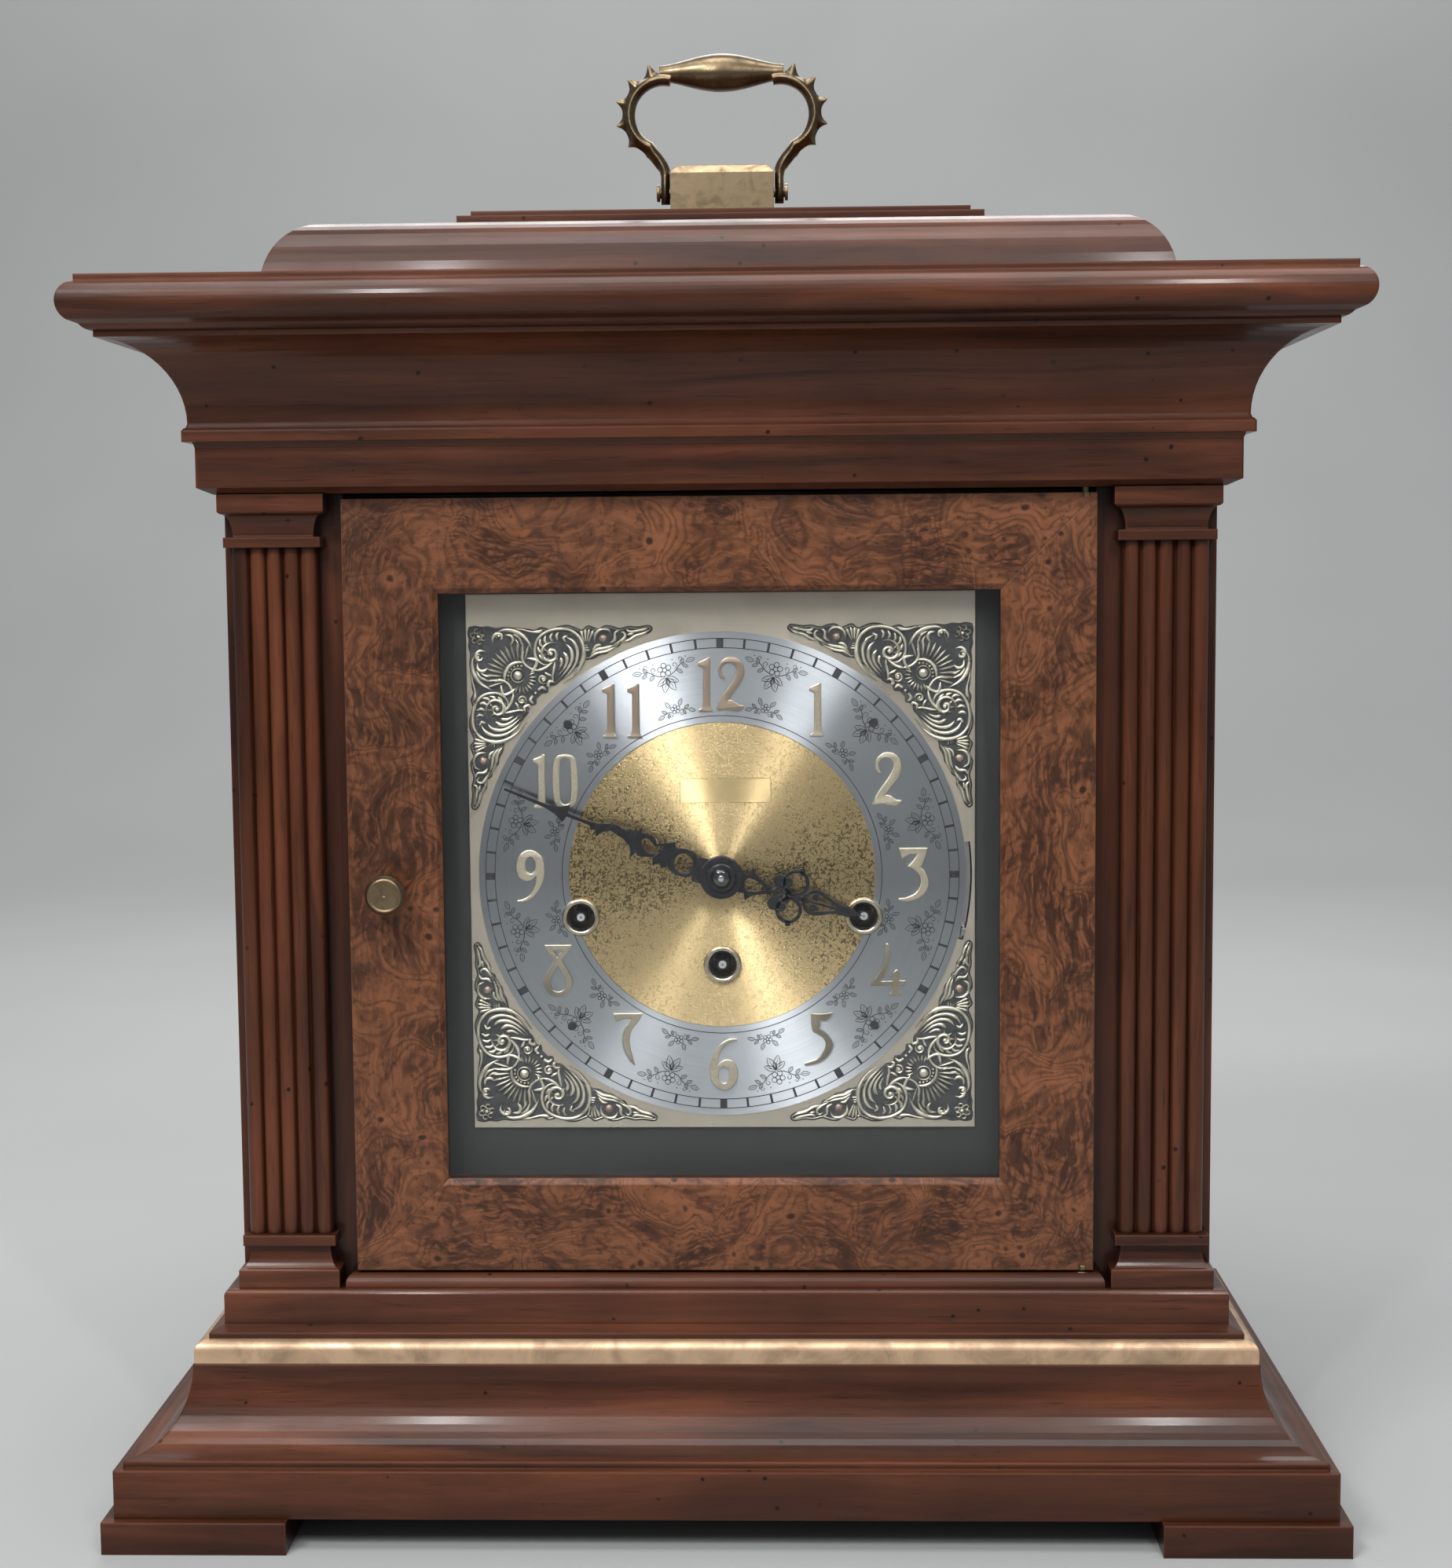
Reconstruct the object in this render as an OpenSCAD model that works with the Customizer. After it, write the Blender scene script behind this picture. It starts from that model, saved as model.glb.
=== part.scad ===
// Three-train chiming mantel clock in a mitred hardwood case with reeded pilasters,
// a glazed burl door, an arched carrying handle and a removable key-wound movement.
// Origin: middle of the footprint, on the surface that the feet stand on. Front faces -Y.

/* [Case] */
// Half width of the case between the outer faces of its side panels
case_half_w = 176; // [174:0.5:178]
// Front reference plane of the case, from which the mouldings project
case_front_y = -82; // [-83:0.5:-81]
// Back face of the case
case_back_y = 121; // [119:1:123]
// Top of the base board, on which the pilasters stand
case_floor_z = 83.4; // [83.4:0.1:83.4]
// Top of the case sides, where the frieze begins
case_top_z = 369.4; // [368:0.2:371]
// Thickness of the side panels
panel_t = 10; // [8:1:12]

/* [Base] */
// Height of the block feet
foot_h = 11.5; // [10:0.5:12]
// Length of a block foot along the front
foot_len = 65; // [55:1:75]
// Projection of the feet beyond the case
foot_p = 41.5; // [40:0.5:42]
// Top of the plinth board
plinth_top_z = 28.7; // [26:0.1:29]
// Projection of the plinth board
plinth_p = 37.7; // [36:0.1:38]
// Width of the large cove of the base
base_cove_w = 20; // [18:1:22]
// Height of the large cove of the base
base_cove_h = 28; // [26:1:28]

/* [Cornice] */
// Projection of the frieze board
frieze_p = 6.3; // [5:0.1:7]
// Width of the cornice cove
cornice_cove_w = 24.8; // [23:0.2:25]
// Height of the cornice cove
cornice_cove_h = 28; // [26:1:28]
// Largest projection of the bullnose cap board
cap_p = 42.9; // [42:0.1:43]
// Rounding of the caddy top, inwards
caddy_round_w = 20.5; // [18:0.5:22]
// Rounding of the caddy top, upwards
caddy_round_h = 25.5; // [24:0.5:26]

/* [Pilasters] */
// Distance of the pilasters from the centre plane
pilaster_x = 157.4; // [157:0.1:158]
// Number of reeds on a pilaster
reed_count = 5; // [3:1:5]
// Spacing of the reeds
reed_pitch = 6.04; // [5.9:0.02:6.06]

/* [Door] */
// Half width of the glazed door
door_half_w = 133.1; // [132.9:0.1:133.2]
// Lower edge of the door
door_z0 = 89; // [88.9:0.1:89.2]
// Upper edge of the door
door_z1 = 367.5; // [367:0.1:367.6]
// Width of the door's rails and stiles
door_rail_w = 33.6; // [32:0.2:34]
// Thickness of the door frame
door_t = 15; // [14:0.5:15]

/* [Dial] */
// Height of the dial centre
dial_z = 231; // [231:1:231]
// Front face of the dial plate
dial_y = -63.5; // [-63.5:0.5:-63.5]
// Outer radius of the chapter ring
ring_r = 88.5; // [88:0.1:88.6]
// Radius of the centre disc
centre_r = 55.6; // [55:0.1:56]
// Half width of the dial plate
dial_half_w = 91.8; // [91.6:0.1:92]
// Length of the minute hand
minute_len = 84.5; // [80:0.5:86]
// Length of the hour hand
hour_len = 52.5; // [50:0.5:54]
// Angle of the minute hand, clockwise from twelve
minute_angle = 292.7; // [0:0.1:360]
// Angle of the hour hand, clockwise from twelve
hour_angle = 105.9; // [0:0.1:360]

/* [Handle] */
// Place of the handle from front to back
handle_y = 19.5; // [18:0.5:21]
// Height of the handle's pivot above its block's foot
pivot_h = 11.3; // [11:0.1:12]
// Width of the handle's pivot block
block_w = 39.9; // [38:0.1:40]
// Largest radius of the grip
grip_r = 7.2; // [6:0.1:7.4]

/* [Hidden] */
$fn = 48;
eps = 0.01;

// Colours as the photograph shows them
wood = "#5b3021";
burl = "#8a5a40";
gilt = "#c9a77a";
brass = "#b08d57";
silver = "#b9bcc0";
steel = "#8f9296";
black = "#17171a";

// Points on an elliptical arc from angle a0 to a1
function arc(cx, cz, rx, rz, a0, a1, n = 10) =
    [for (i = [0:n]) let (a = a0 + (a1 - a0) * i / n) [cx + rx * cos(a), cz + rz * sin(a)]];

// Smooth closed outline through points, with n steps between them; a third value marks a corner
function place(pts, i) = let (q = pts[(i + len(pts)) % len(pts)]) [q[0], q[1]];
function sharp(pts, i) = len(pts[(i + len(pts)) % len(pts)]) > 2;
function smooth(pts, n = 3) = [for (i = [0:len(pts) - 1])
    let (
        b = place(pts, i),
        c = place(pts, i + 1),
        a = sharp(pts, i) ? b : place(pts, i - 1),
        d = sharp(pts, i + 1) ? c : place(pts, i + 2),
        last = sharp(pts, i) && sharp(pts, i + 1) ? 0 : n - 1
    )
    for (k = [0:last])
        let (t = k / n)
        0.5 * (2 * b + (c - a) * t + (2 * a - 5 * b + 4 * c - d) * t * t
            + (3 * b - a - 3 * c + d) * t * t * t)];

// Points of one involute gear outline: tooth count t, module m, phase ph in teeth
gear_flank = 2;
function inv_angle(rb, r) = let (q = sqrt(max(0, r * r / (rb * rb) - 1))) q * 180 / PI - atan(q);
function gear_points(t, m, ph = 0) =
    let (
        rp = t * m / 2,
        rb = rp * cos(20),
        ra = rp + 0.8 * m,
        rf = rp - 1.15 * m,
        r0 = max(rb, rf),
        half = 90 / t * 0.86,
        base = half + inv_angle(rb, rp)
    )
    [for (k = [0:t - 1])
        let (mid = 360 * (k + ph) / t)
        each concat(
            [[rf * cos(mid - base), rf * sin(mid - base)]],
            [for (i = [0:gear_flank])
                let (r = r0 + (ra - r0) * i / gear_flank, a = mid - base + inv_angle(rb, r))
                [r * cos(a), r * sin(a)]],
            [for (i = [gear_flank:-1:0])
                let (r = r0 + (ra - r0) * i / gear_flank, a = mid + base - inv_angle(rb, r))
                [r * cos(a), r * sin(a)]],
            [[rf * cos(mid + base), rf * sin(mid + base)]]
        )];

// Turns a drawing in X and Z so that it faces the front, its front face at y
module facing(y, t) {
    translate([0, y + t, 0]) rotate([90, 0, 0]) linear_extrude(t) children();
}

// Cylinder along Y from y0 to y1
module rod_y(x, z, r, y0, y1) {
    translate([x, y1, z]) rotate([90, 0, 0]) cylinder(r = r, h = y1 - y0);
}

// Bar of outline pts (projection, height) along the front, and along one side
module front_bar(pts) {
    length = 2 * (case_half_w + cap_p) + 20;
    translate([-length / 2, case_front_y, 0]) rotate([90, 0, 90]) linear_extrude(length)
        polygon([for (q = pts) [-q[0], q[1]]]);
}
module right_bar(pts) {
    length = case_back_y - case_front_y + cap_p + 10;
    translate([case_half_w, case_back_y, 0]) rotate([90, 0, 0]) linear_extrude(length) polygon(pts);
}

// Plan outlines that cut the bars at 45 degree mitres
mitre_out = 60;
mitre_in = 40;
module front_wedge() {
    linear_extrude(600) polygon([
        [-case_half_w - mitre_out, case_front_y - mitre_out],
        [case_half_w + mitre_out, case_front_y - mitre_out],
        [case_half_w - mitre_in, case_front_y + mitre_in],
        [-case_half_w + mitre_in, case_front_y + mitre_in]
    ]);
}
module right_wedge() {
    linear_extrude(600) polygon([
        [case_half_w - mitre_in, case_front_y + mitre_in],
        [case_half_w + mitre_out, case_front_y - mitre_out],
        [case_half_w + mitre_out, case_back_y],
        [case_half_w - mitre_in, case_back_y]
    ]);
}
module mitred_front(pts) {
    intersection() {
        front_bar(pts);
        front_wedge();
    }
}
module mitred_right(pts) {
    intersection() {
        right_bar(pts);
        right_wedge();
    }
}
module mitred_left(pts) {
    mirror([1, 0, 0]) mitred_right(pts);
}

// Full board moulded on the front and both sides, flat at the back
module moulded_board(pts, back = case_back_y) {
    z0 = pts[0][1];
    z1 = pts[len(pts) - 1][1];
    n = len(pts) - 1;
    depth = back - case_front_y + cap_p + 10;
    intersection() {
        translate([0, back, 0]) rotate([90, 0, 0]) linear_extrude(depth) polygon(concat(
            [for (q = pts) [case_half_w + q[0], q[1]]],
            [for (i = [n:-1:0]) [-case_half_w - pts[i][0], pts[i][1]]]
        ));
        translate([-300, 0, 0]) rotate([90, 0, 90]) linear_extrude(600) polygon(concat(
            [for (q = pts) [case_front_y - q[0], q[1]]],
            [[back, z1], [back, z0]]
        ));
    }
}

// Base heights, worked up from the feet
dust_top_z = plinth_top_z + 2.1;
dust_p = plinth_p - 3;
base_cove_top_z = dust_top_z + 0.4 + base_cove_h;
base_cove_p = dust_p - 0.4;
gilt_h = 7.9;
gilt_r = 3.4;
gilt_p = base_cove_p - base_cove_w - 0.3;
gilt_core_p = 4;
gilt_top_z = base_cove_top_z + gilt_h;
ledge_p = 9.5;
ledge_fillet_h = 2;
step_p = 4.8;
step_z = case_floor_z - 12.3;
base_in_p = -14;

base_pts = concat(
    [[base_in_p, foot_h], [plinth_p, foot_h], [plinth_p, plinth_top_z], [dust_p, plinth_top_z]],
    [[dust_p, dust_top_z]],
    arc(base_cove_p, base_cove_top_z, base_cove_w, base_cove_h, 270, 180, 14),
    [[base_in_p, base_cove_top_z]]
);

module feet() {
    foot_y0 = case_front_y - foot_p;
    depth = 60;
    color(wood) for (side = [-1, 1], y = [foot_y0, case_back_y - depth])
        translate([side > 0 ? case_half_w + foot_p - foot_len : -case_half_w - foot_p, y, 0])
            cube([foot_len, depth, foot_h]);
}
module base_moulding_front() {
    color(wood) mitred_front(base_pts);
}
module base_moulding_sides() {
    color(wood) {
        mitred_left(base_pts);
        mitred_right(base_pts);
    }
}
module base_back_rail() {
    inner = case_half_w + base_in_p;
    color(wood) translate([-inner, case_back_y - 12, foot_h])
        cube([2 * inner, 12, base_cove_top_z - foot_h]);
}
module gilt_strip() {
    pts = concat(
        [[gilt_core_p, base_cove_top_z], [gilt_p, base_cove_top_z]],
        arc(gilt_p - gilt_r, gilt_top_z - gilt_r, gilt_r, gilt_r, 0, 90, 6),
        [[gilt_core_p, gilt_top_z]]
    );
    color(gilt) {
        mitred_front(pts);
        mitred_left(pts);
        mitred_right(pts);
    }
}
module ledge_board() {
    color(wood) moulded_board([
        [gilt_core_p, base_cove_top_z], [gilt_core_p, gilt_top_z], [ledge_p, gilt_top_z],
        [ledge_p, gilt_top_z + ledge_fillet_h], [step_p, step_z]
    ]);
}
module base_board() {
    r = 2;
    color(wood) moulded_board(concat(
        [[step_p, step_z]],
        arc(step_p - r, case_floor_z - r, r, r, 0, 90, 5)
    ));
}

// Door sill with rounded front and ends, recessed for the lower pivot plate
sill_top_z = 88.2;
sill_half_w = 137;
sill_front_y = -84.2;
module door_sill() {
    r = 4.8;
    end_r = 3;
    color(wood) difference() {
        intersection() {
            translate([-sill_half_w, 0, 0]) rotate([90, 0, 90]) linear_extrude(2 * sill_half_w)
                polygon(concat(
                [[-64, case_floor_z], [sill_front_y, case_floor_z]],
                arc(sill_front_y + r, sill_top_z - r, r, r, 180, 90, 6),
                [[-64, sill_top_z]]
            ));
            translate([0, -60, 0]) rotate([90, 0, 0]) linear_extrude(40) polygon(concat(
                [[sill_half_w, case_floor_z]],
                arc(sill_half_w - end_r, sill_top_z - end_r, end_r, end_r, 0, 90, 5),
                arc(-sill_half_w + end_r, sill_top_z - end_r, end_r, end_r, 90, 180, 5),
                [[-sill_half_w, case_floor_z]]
            ));
        }
        translate([pivot_x, pivot_y, sill_top_z - pivot_plate_t]) cylinder(r = pivot_plate_r, h = 3);
        for (side = [0, 1]) mirror([side, 0, 0]) translate([stile_in, stile_y, case_floor_z - 1])
            cube([20, 20, 10]);
    }
}

// Pilasters: five reeds on a flat ground, between a coved cap and a coved base
shaft_z0 = 102.5;
shaft_z1 = 350.7;
stile_y = -73.5;
ground_y = -77.9;
reed_r = 3;
module reeded_shaft(x) {
    half = reed_count * reed_pitch / 2;
    color(wood) translate([x, 0, shaft_z0]) linear_extrude(shaft_z1 - shaft_z0) {
        translate([-half, ground_y]) square([2 * half, stile_y - ground_y]);
        for (i = [0:reed_count - 1])
            translate([(i - (reed_count - 1) / 2) * reed_pitch, ground_y]) circle(reed_r, $fn = 32);
    }
}
module pilasters() {
    reeded_shaft(-pilaster_x);
    reeded_shaft(pilaster_x);
}
// Block moulded on three sides: pts are (half width, height), front is where half width w0 ends
module moulded_block(x, pts, w0, front) {
    n = len(pts) - 1;
    intersection() {
        translate([x, stile_y, 0]) rotate([90, 0, 0]) linear_extrude(20) polygon(concat(
            [for (q = pts) [q[0], q[1]]],
            [for (i = [n:-1:0]) [-pts[i][0], pts[i][1]]]
        ));
        translate([x - 30, 0, 0]) rotate([90, 0, 90]) linear_extrude(60) polygon(concat(
            [for (q = pts) [front - (q[0] - w0), q[1]]],
            [[stile_y, pts[n][1]], [stile_y, pts[0][1]]]
        ));
    }
}
cap_half_w = 18.8;
cap_front_y = -84.5;
module column_caps() {
    pts = concat(
        [[17.2, shaft_z1], [17.2, 354.3]],
        arc(17.8, 354.5, 3.5, 8, 180, 90, 7),
        [[cap_half_w - 0.6, 362.7], [cap_half_w, 363.3], [cap_half_w, case_top_z]]
    );
    color(wood) for (side = [-1, 1]) moulded_block(side * pilaster_x, pts, cap_half_w, cap_front_y);
}
module column_bases() {
    pts = concat(
        [[18.3, case_floor_z], [18.3, 90]],
        arc(17.8, 98.4, 3.4, 8, 270, 180, 7),
        [[16.8, 98.7], [16.8, shaft_z0]]
    );
    color(wood) for (side = [-1, 1]) moulded_block(side * pilaster_x, pts, 18.3, cap_front_y);
}
mask_y = dial_y + 1.2;
stile_in = door_half_w + 0.4;
module front_stiles() {
    color(wood) for (side = [0, 1]) mirror([side, 0, 0])
        translate([stile_in, stile_y, case_floor_z])
            cube([case_half_w - stile_in, mask_y - stile_y, case_top_z - case_floor_z]);
}
back_t = 12;
module side_panel() {
    translate([case_half_w - panel_t, mask_y, case_floor_z])
        cube([panel_t, case_back_y - back_t - mask_y, case_top_z - case_floor_z]);
}
module case_sides() {
    color(wood) for (side = [0, 1]) mirror([side, 0, 0]) side_panel();
}

// Back frame and its door, which turns on two pins
rear_half_w = 130;
rear_z0 = 112;
rear_z1 = 342;
rear_gap = 0.6;
rear_t = 8;
rear_pin_r = 1.5;
rear_pin_h = 5;
rear_hinge_x = -rear_half_w + 4.4;
rear_hinge_y = case_back_y - 5;
rear_pull_x = rear_half_w - 14;
module back_frame() {
    crown_half = case_half_w + frieze_in_p;
    color(wood) {
        difference() {
            translate([-case_half_w, case_back_y - back_t, case_floor_z])
                cube([2 * case_half_w, back_t, case_top_z - case_floor_z]);
            translate([-rear_half_w, case_back_y - back_t - 1, rear_z0])
                cube([2 * rear_half_w, back_t + 2, rear_z1 - rear_z0]);
        }
        translate([-crown_half, case_back_y - back_t, case_top_z - eps])
            cube([2 * crown_half, back_t, crown_top_z - case_top_z + eps]);
    }
}
// Sound slots: count on each side of the middle, spacing, width and height
slot_n = 4;
slot_pitch = 14;
slot_w = 4;
slot_h = 60;
module rear_door() {
    y0 = rear_hinge_y - rear_t / 2;
    z0 = rear_z0 + rear_gap;
    color(wood) difference() {
        translate([0, 0, z0]) linear_extrude(rear_z1 - rear_gap - z0) {
            translate([rear_hinge_x, y0]) square([rear_half_w - rear_gap - rear_hinge_x, rear_t]);
            translate([rear_hinge_x, rear_hinge_y]) circle(rear_t / 2);
        }
        for (z = [rear_z0, rear_z1 - rear_pin_h - 1])
            translate([rear_hinge_x, rear_hinge_y, z])
                cylinder(r = rear_pin_r + pivot_fit, h = rear_pin_h + 1);
        for (i = [-slot_n:slot_n], side = [-1, 1])
            translate([i * slot_pitch - slot_w / 2, y0 - 1, dial_z + side * 70 - slot_h / 2])
                cube([slot_w, rear_t + 2, slot_h]);
    }
}
module rear_door_pull() {
    color(brass) translate([rear_pull_x, rear_hinge_y + rear_t / 2, dial_z]) rotate([-90, 0, 0])
        rotate_extrude() polygon([[0, 0], [3, 0], [2, 1], [2, 2.2], [5, 3.4], [5.6, 4.2], [4.6, 5],
            [0, 5]]);
}

// Frieze, bead and crown cove, cap board and caddy top
frieze_in_p = -14;
frieze_z = case_top_z + 2.2;
frieze_top_z = case_top_z + 16;
bead_z0 = frieze_top_z + 2;
bead_z1 = bead_z0 + 4.8;
bead_p = 10;
cove_z0 = bead_z1 + 1.4;
cove_p0 = 8.2;
cove_z1 = cove_z0 + cornice_cove_h;
cove_p1 = cove_p0 + cornice_cove_w;
crown_top_z = cove_z1 + 2;
frieze_pts = [
    [frieze_in_p, case_top_z], [1.5, case_top_z], [frieze_p, frieze_z], [frieze_p, frieze_top_z],
    [frieze_in_p, frieze_top_z]
];
crown_pts = concat(
    [[frieze_in_p, frieze_top_z], [frieze_p, frieze_top_z], [frieze_p + 0.7, bead_z0]],
    [[bead_p, bead_z0], [bead_p, bead_z1 - 1], [bead_p - 0.8, bead_z1], [cove_p0 + 0.6, bead_z1]],
    arc(cove_p1, cove_z0, cornice_cove_w, cornice_cove_h, 180, 90, 14),
    [[cove_p1, crown_top_z], [frieze_in_p, crown_top_z]]
);
module frieze_front() {
    color(wood) difference() {
        mitred_front(frieze_pts);
        translate([pivot_x, pivot_y, case_top_z - 1]) cylinder(r = pivot_plate_r, h = pivot_plate_t + 1);
    }
}
module frieze_sides() {
    color(wood) {
        mitred_left(frieze_pts);
        mitred_right(frieze_pts);
    }
}
module cornice_front() {
    color(wood) mitred_front(crown_pts);
}
module cornice_sides() {
    color(wood) {
        mitred_left(crown_pts);
        mitred_right(crown_pts);
    }
}
cap_top_z = crown_top_z + 16.1;
cap_step_h = 2.3;
module cap_board() {
    pts = concat(
        [[cove_p1, crown_top_z]],
        arc(cove_p1, crown_top_z + 4, 4.4, 4, 280, 330, 3),
        arc(cap_p - 5.6, crown_top_z + 9.2, 5.6, 6.9, -60, 78, 12),
        [[cap_p - 4.8, cap_top_z], [cap_p - 5.1, cap_top_z]],
        [[cap_p - 5.1, cap_top_z + cap_step_h]]
    );
    color(wood) moulded_board(pts);
}
caddy_z = cap_top_z + cap_step_h;
caddy_p = -13.5;
caddy_top_z = caddy_z + caddy_round_h;
caddy_half_w = case_half_w + caddy_p;
caddy_y0 = case_front_y - caddy_p;
caddy_y1 = case_back_y + caddy_p;
// Outline of one direction of the caddy top, from a to b
module caddy_outline(a, b) {
    polygon(concat(
        [[a, caddy_z]],
        arc(a + caddy_round_w, caddy_z, caddy_round_w, caddy_round_h, 180, 90, 12),
        arc(b - caddy_round_w, caddy_z, caddy_round_w, caddy_round_h, 90, 0, 12)
    ));
}
module caddy_top() {
    color(wood) intersection() {
        translate([0, caddy_y1, 0]) rotate([90, 0, 0]) linear_extrude(caddy_y1 - caddy_y0)
            caddy_outline(-caddy_half_w, caddy_half_w);
        translate([-caddy_half_w, 0, 0]) rotate([90, 0, 90]) linear_extrude(2 * caddy_half_w)
            caddy_outline(caddy_y0, caddy_y1);
    }
}
plinth_a_half = 98.3;
plinth_b_half = 93.5;
plinth_a_h = 6.5;
plinth_b_h = 2.2;
handle_z = caddy_top_z + plinth_a_h + plinth_b_h;
module handle_plinth() {
    color(wood) {
        translate([-plinth_a_half, handle_y - 41, caddy_top_z]) cube([2 * plinth_a_half, 82, plinth_a_h]);
        translate([-plinth_b_half, handle_y - 36.5, caddy_top_z + plinth_a_h])
            cube([2 * plinth_b_half, 73, plinth_b_h]);
    }
}

// Handle: pivot block, pin and a cast bail with pointed outer edge
pin_r = 2;
pin_fit = 0.05;
pivot_z = handle_z + pivot_h;
leg_in = block_w / 2 + 0.3;
leg_t = 3.7;
module handle_block() {
    half = block_w / 2;
    depth = 14;
    h = 21.3;
    color(brass) difference() {
        intersection() {
            translate([0, handle_y + depth / 2, handle_z]) rotate([90, 0, 0]) linear_extrude(depth) polygon([
                [-half, 0], [half, 0], [half, h - 2.5], [half - 2.8, h], [-half + 2.8, h], [-half, h - 2.5]
            ]);
            translate([-half, handle_y, handle_z]) rotate([90, 0, 90]) linear_extrude(block_w) polygon([
                [-depth / 2, 0], [depth / 2, 0], [depth / 2, 2.6], [depth / 2 - 0.8, 3.2],
                [depth / 2 - 0.8, h - 3], [depth / 2 - 3, h], [3 - depth / 2, h],
                [0.8 - depth / 2, h - 3], [0.8 - depth / 2, 3.2], [-depth / 2, 2.6]
            ]);
        }
        translate([-half - 1, handle_y, pivot_z]) rotate([0, 90, 0]) cylinder(r = pin_r, h = block_w + 2);
    }
}
module bail_pin() {
    end = leg_in + leg_t + 0.3;
    color(brass) {
        translate([-end, handle_y, pivot_z]) rotate([0, 90, 0]) cylinder(r = pin_r, h = 2 * end);
        for (side = [-1, 1])
            translate([side > 0 ? end : -end - 1.2, handle_y, pivot_z]) rotate([0, 90, 0])
                cylinder(r = 3.2, h = 1.2);
    }
}
loop_x = 22.5;
loop_h = 29.8;
loop_r_in = 11.3;
loop_r_out = 16;
spike_count = 6;
spike_a0 = 107;
spike_step = 28.4;
spike_r0 = 20.6;
spike_fall = 0.5;
bail_t = 8;
grip_h = 45.6;
grip_half = 24;
grip_neck = 3.1;
// Point of the side loop at an angle and radius about the loop's middle
function loop_at(a, r) = [-loop_x + r * cos(a), loop_h + r * sin(a)];
// Outline of one side loop: points with hollows between them outside, a plain arc inside
function loop_points() = concat(
    [for (k = [0:spike_count - 1])
        let (a = spike_a0 + k * spike_step)
        each [
            loop_at(a - 7, loop_r_out + 0.9),
            loop_at(a - 2, loop_r_out + 2.2),
            loop_at(a, spike_r0 - spike_fall * k),
            loop_at(a + 2, loop_r_out + 2.2),
            loop_at(a + 7, loop_r_out + 0.9),
            loop_at(a + spike_step / 2, loop_r_out)
        ]],
    [[-leg_in - leg_t, 9.5], [-leg_in - leg_t, 0], [-leg_in, 0], [-leg_in, 13.8]],
    [for (i = [0:11]) loop_at(247 - i * 157 / 11, loop_r_in)],
    [[-loop_x, loop_h + loop_r_out]]
);
module bail_handle() {
    lug_r = 4.4;
    color(brass) translate([0, handle_y, pivot_z]) difference() {
        union() {
            for (side = [0, 1]) mirror([side, 0, 0]) {
                translate([0, bail_t / 2, 0]) rotate([90, 0, 0]) linear_extrude(bail_t)
                    polygon(loop_points());
                translate([-leg_in - leg_t, 0, 0]) rotate([0, 90, 0]) cylinder(r = lug_r, h = leg_t);
            }
            translate([-grip_half, 0, grip_h]) rotate([0, 90, 0]) rotate_extrude() polygon(concat(
                [[0, 0]],
                [for (i = [0:16])
                    let (s = i / 16)
                    [grip_neck + (grip_r - grip_neck) * pow(sin(180 * s), 1.6), 2 * grip_half * s]],
                [[0, 2 * grip_half]]
            ));
        }
        translate([-leg_in - leg_t - 1, 0, 0]) rotate([0, 90, 0])
            cylinder(r = pin_r + pin_fit, h = 2 * (leg_in + leg_t) + 2);
    }
}

// Glazed door: four mitred frame members with a rebate for the glass
door_y = case_front_y + 1.5;
glass_y = door_y + 2.2;
glass_t = 2;
rebate_w = 5;
pivot_x = 129.4;
pivot_y = -77;
pivot_r = 1.5;
pivot_fit = 0.05;
pivot_plate_r = 3.6;
pivot_plate_t = 1.6;
door_h = door_z1 - door_z0;
// Member outline: distance in from the door's edge, and depth
door_pts = [
    [0, door_y + door_t], [0, door_y], [door_rail_w - 2, door_y], [door_rail_w, glass_y - 0.6],
    [door_rail_w, glass_y], [door_rail_w - rebate_w, glass_y], [door_rail_w - rebate_w, door_y + door_t]
];
module door_rail() {
    intersection() {
        translate([-door_half_w, 0, door_z0]) rotate([90, 0, 90]) linear_extrude(2 * door_half_w)
            polygon([for (q = door_pts) [q[1], q[0]]]);
        translate([0, 0, door_z0]) rotate([90, 0, 0]) linear_extrude(100) polygon([
            [-door_half_w, 0], [door_half_w, 0],
            [door_half_w - door_rail_w - 5, door_rail_w + 5],
            [-door_half_w + door_rail_w + 5, door_rail_w + 5]
        ]);
    }
}
module door_stile() {
    intersection() {
        translate([0, 0, door_z0]) linear_extrude(door_h)
            polygon([for (q = door_pts) [door_half_w - q[0], q[1]]]);
        translate([0, 0, door_z0]) rotate([90, 0, 0]) linear_extrude(100) polygon([
            [door_half_w, 0], [door_half_w, door_h],
            [door_half_w - door_rail_w - 5, door_h - door_rail_w - 5],
            [door_half_w - door_rail_w - 5, door_rail_w + 5]
        ]);
    }
}
// Room in the door for a pivot plate and the end of its pin, at both ends of the door
module pivot_sockets() {
    for (z = [door_z0 - eps, door_z1 - pivot_plate_t])
        translate([pivot_x, pivot_y, z]) cylinder(r = pivot_plate_r, h = pivot_plate_t + eps);
    for (z = [door_z0, door_z1 - 8])
        translate([pivot_x, pivot_y, z]) cylinder(r = 2.2, h = 8);
}
module door_rails() {
    color(burl) difference() {
        union() {
            door_rail();
            translate([0, 0, door_z0 + door_z1]) mirror([0, 0, 1]) door_rail();
        }
        pivot_sockets();
    }
}
module door_stiles() {
    color(burl) difference() {
        for (side = [0, 1]) mirror([side, 0, 0]) door_stile();
        pivot_sockets();
    }
}
light_half = door_half_w - door_rail_w + rebate_w;
light_z0 = door_z0 + door_rail_w - rebate_w;
light_z1 = door_z1 - door_rail_w + rebate_w;
module door_glass() {
    gap = 0.2;
    color("#c8d6d8", 0.25) translate([-light_half + gap, glass_y, light_z0 + gap])
        cube([2 * (light_half - gap), glass_t, light_z1 - light_z0 - 2 * gap]);
}
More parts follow.
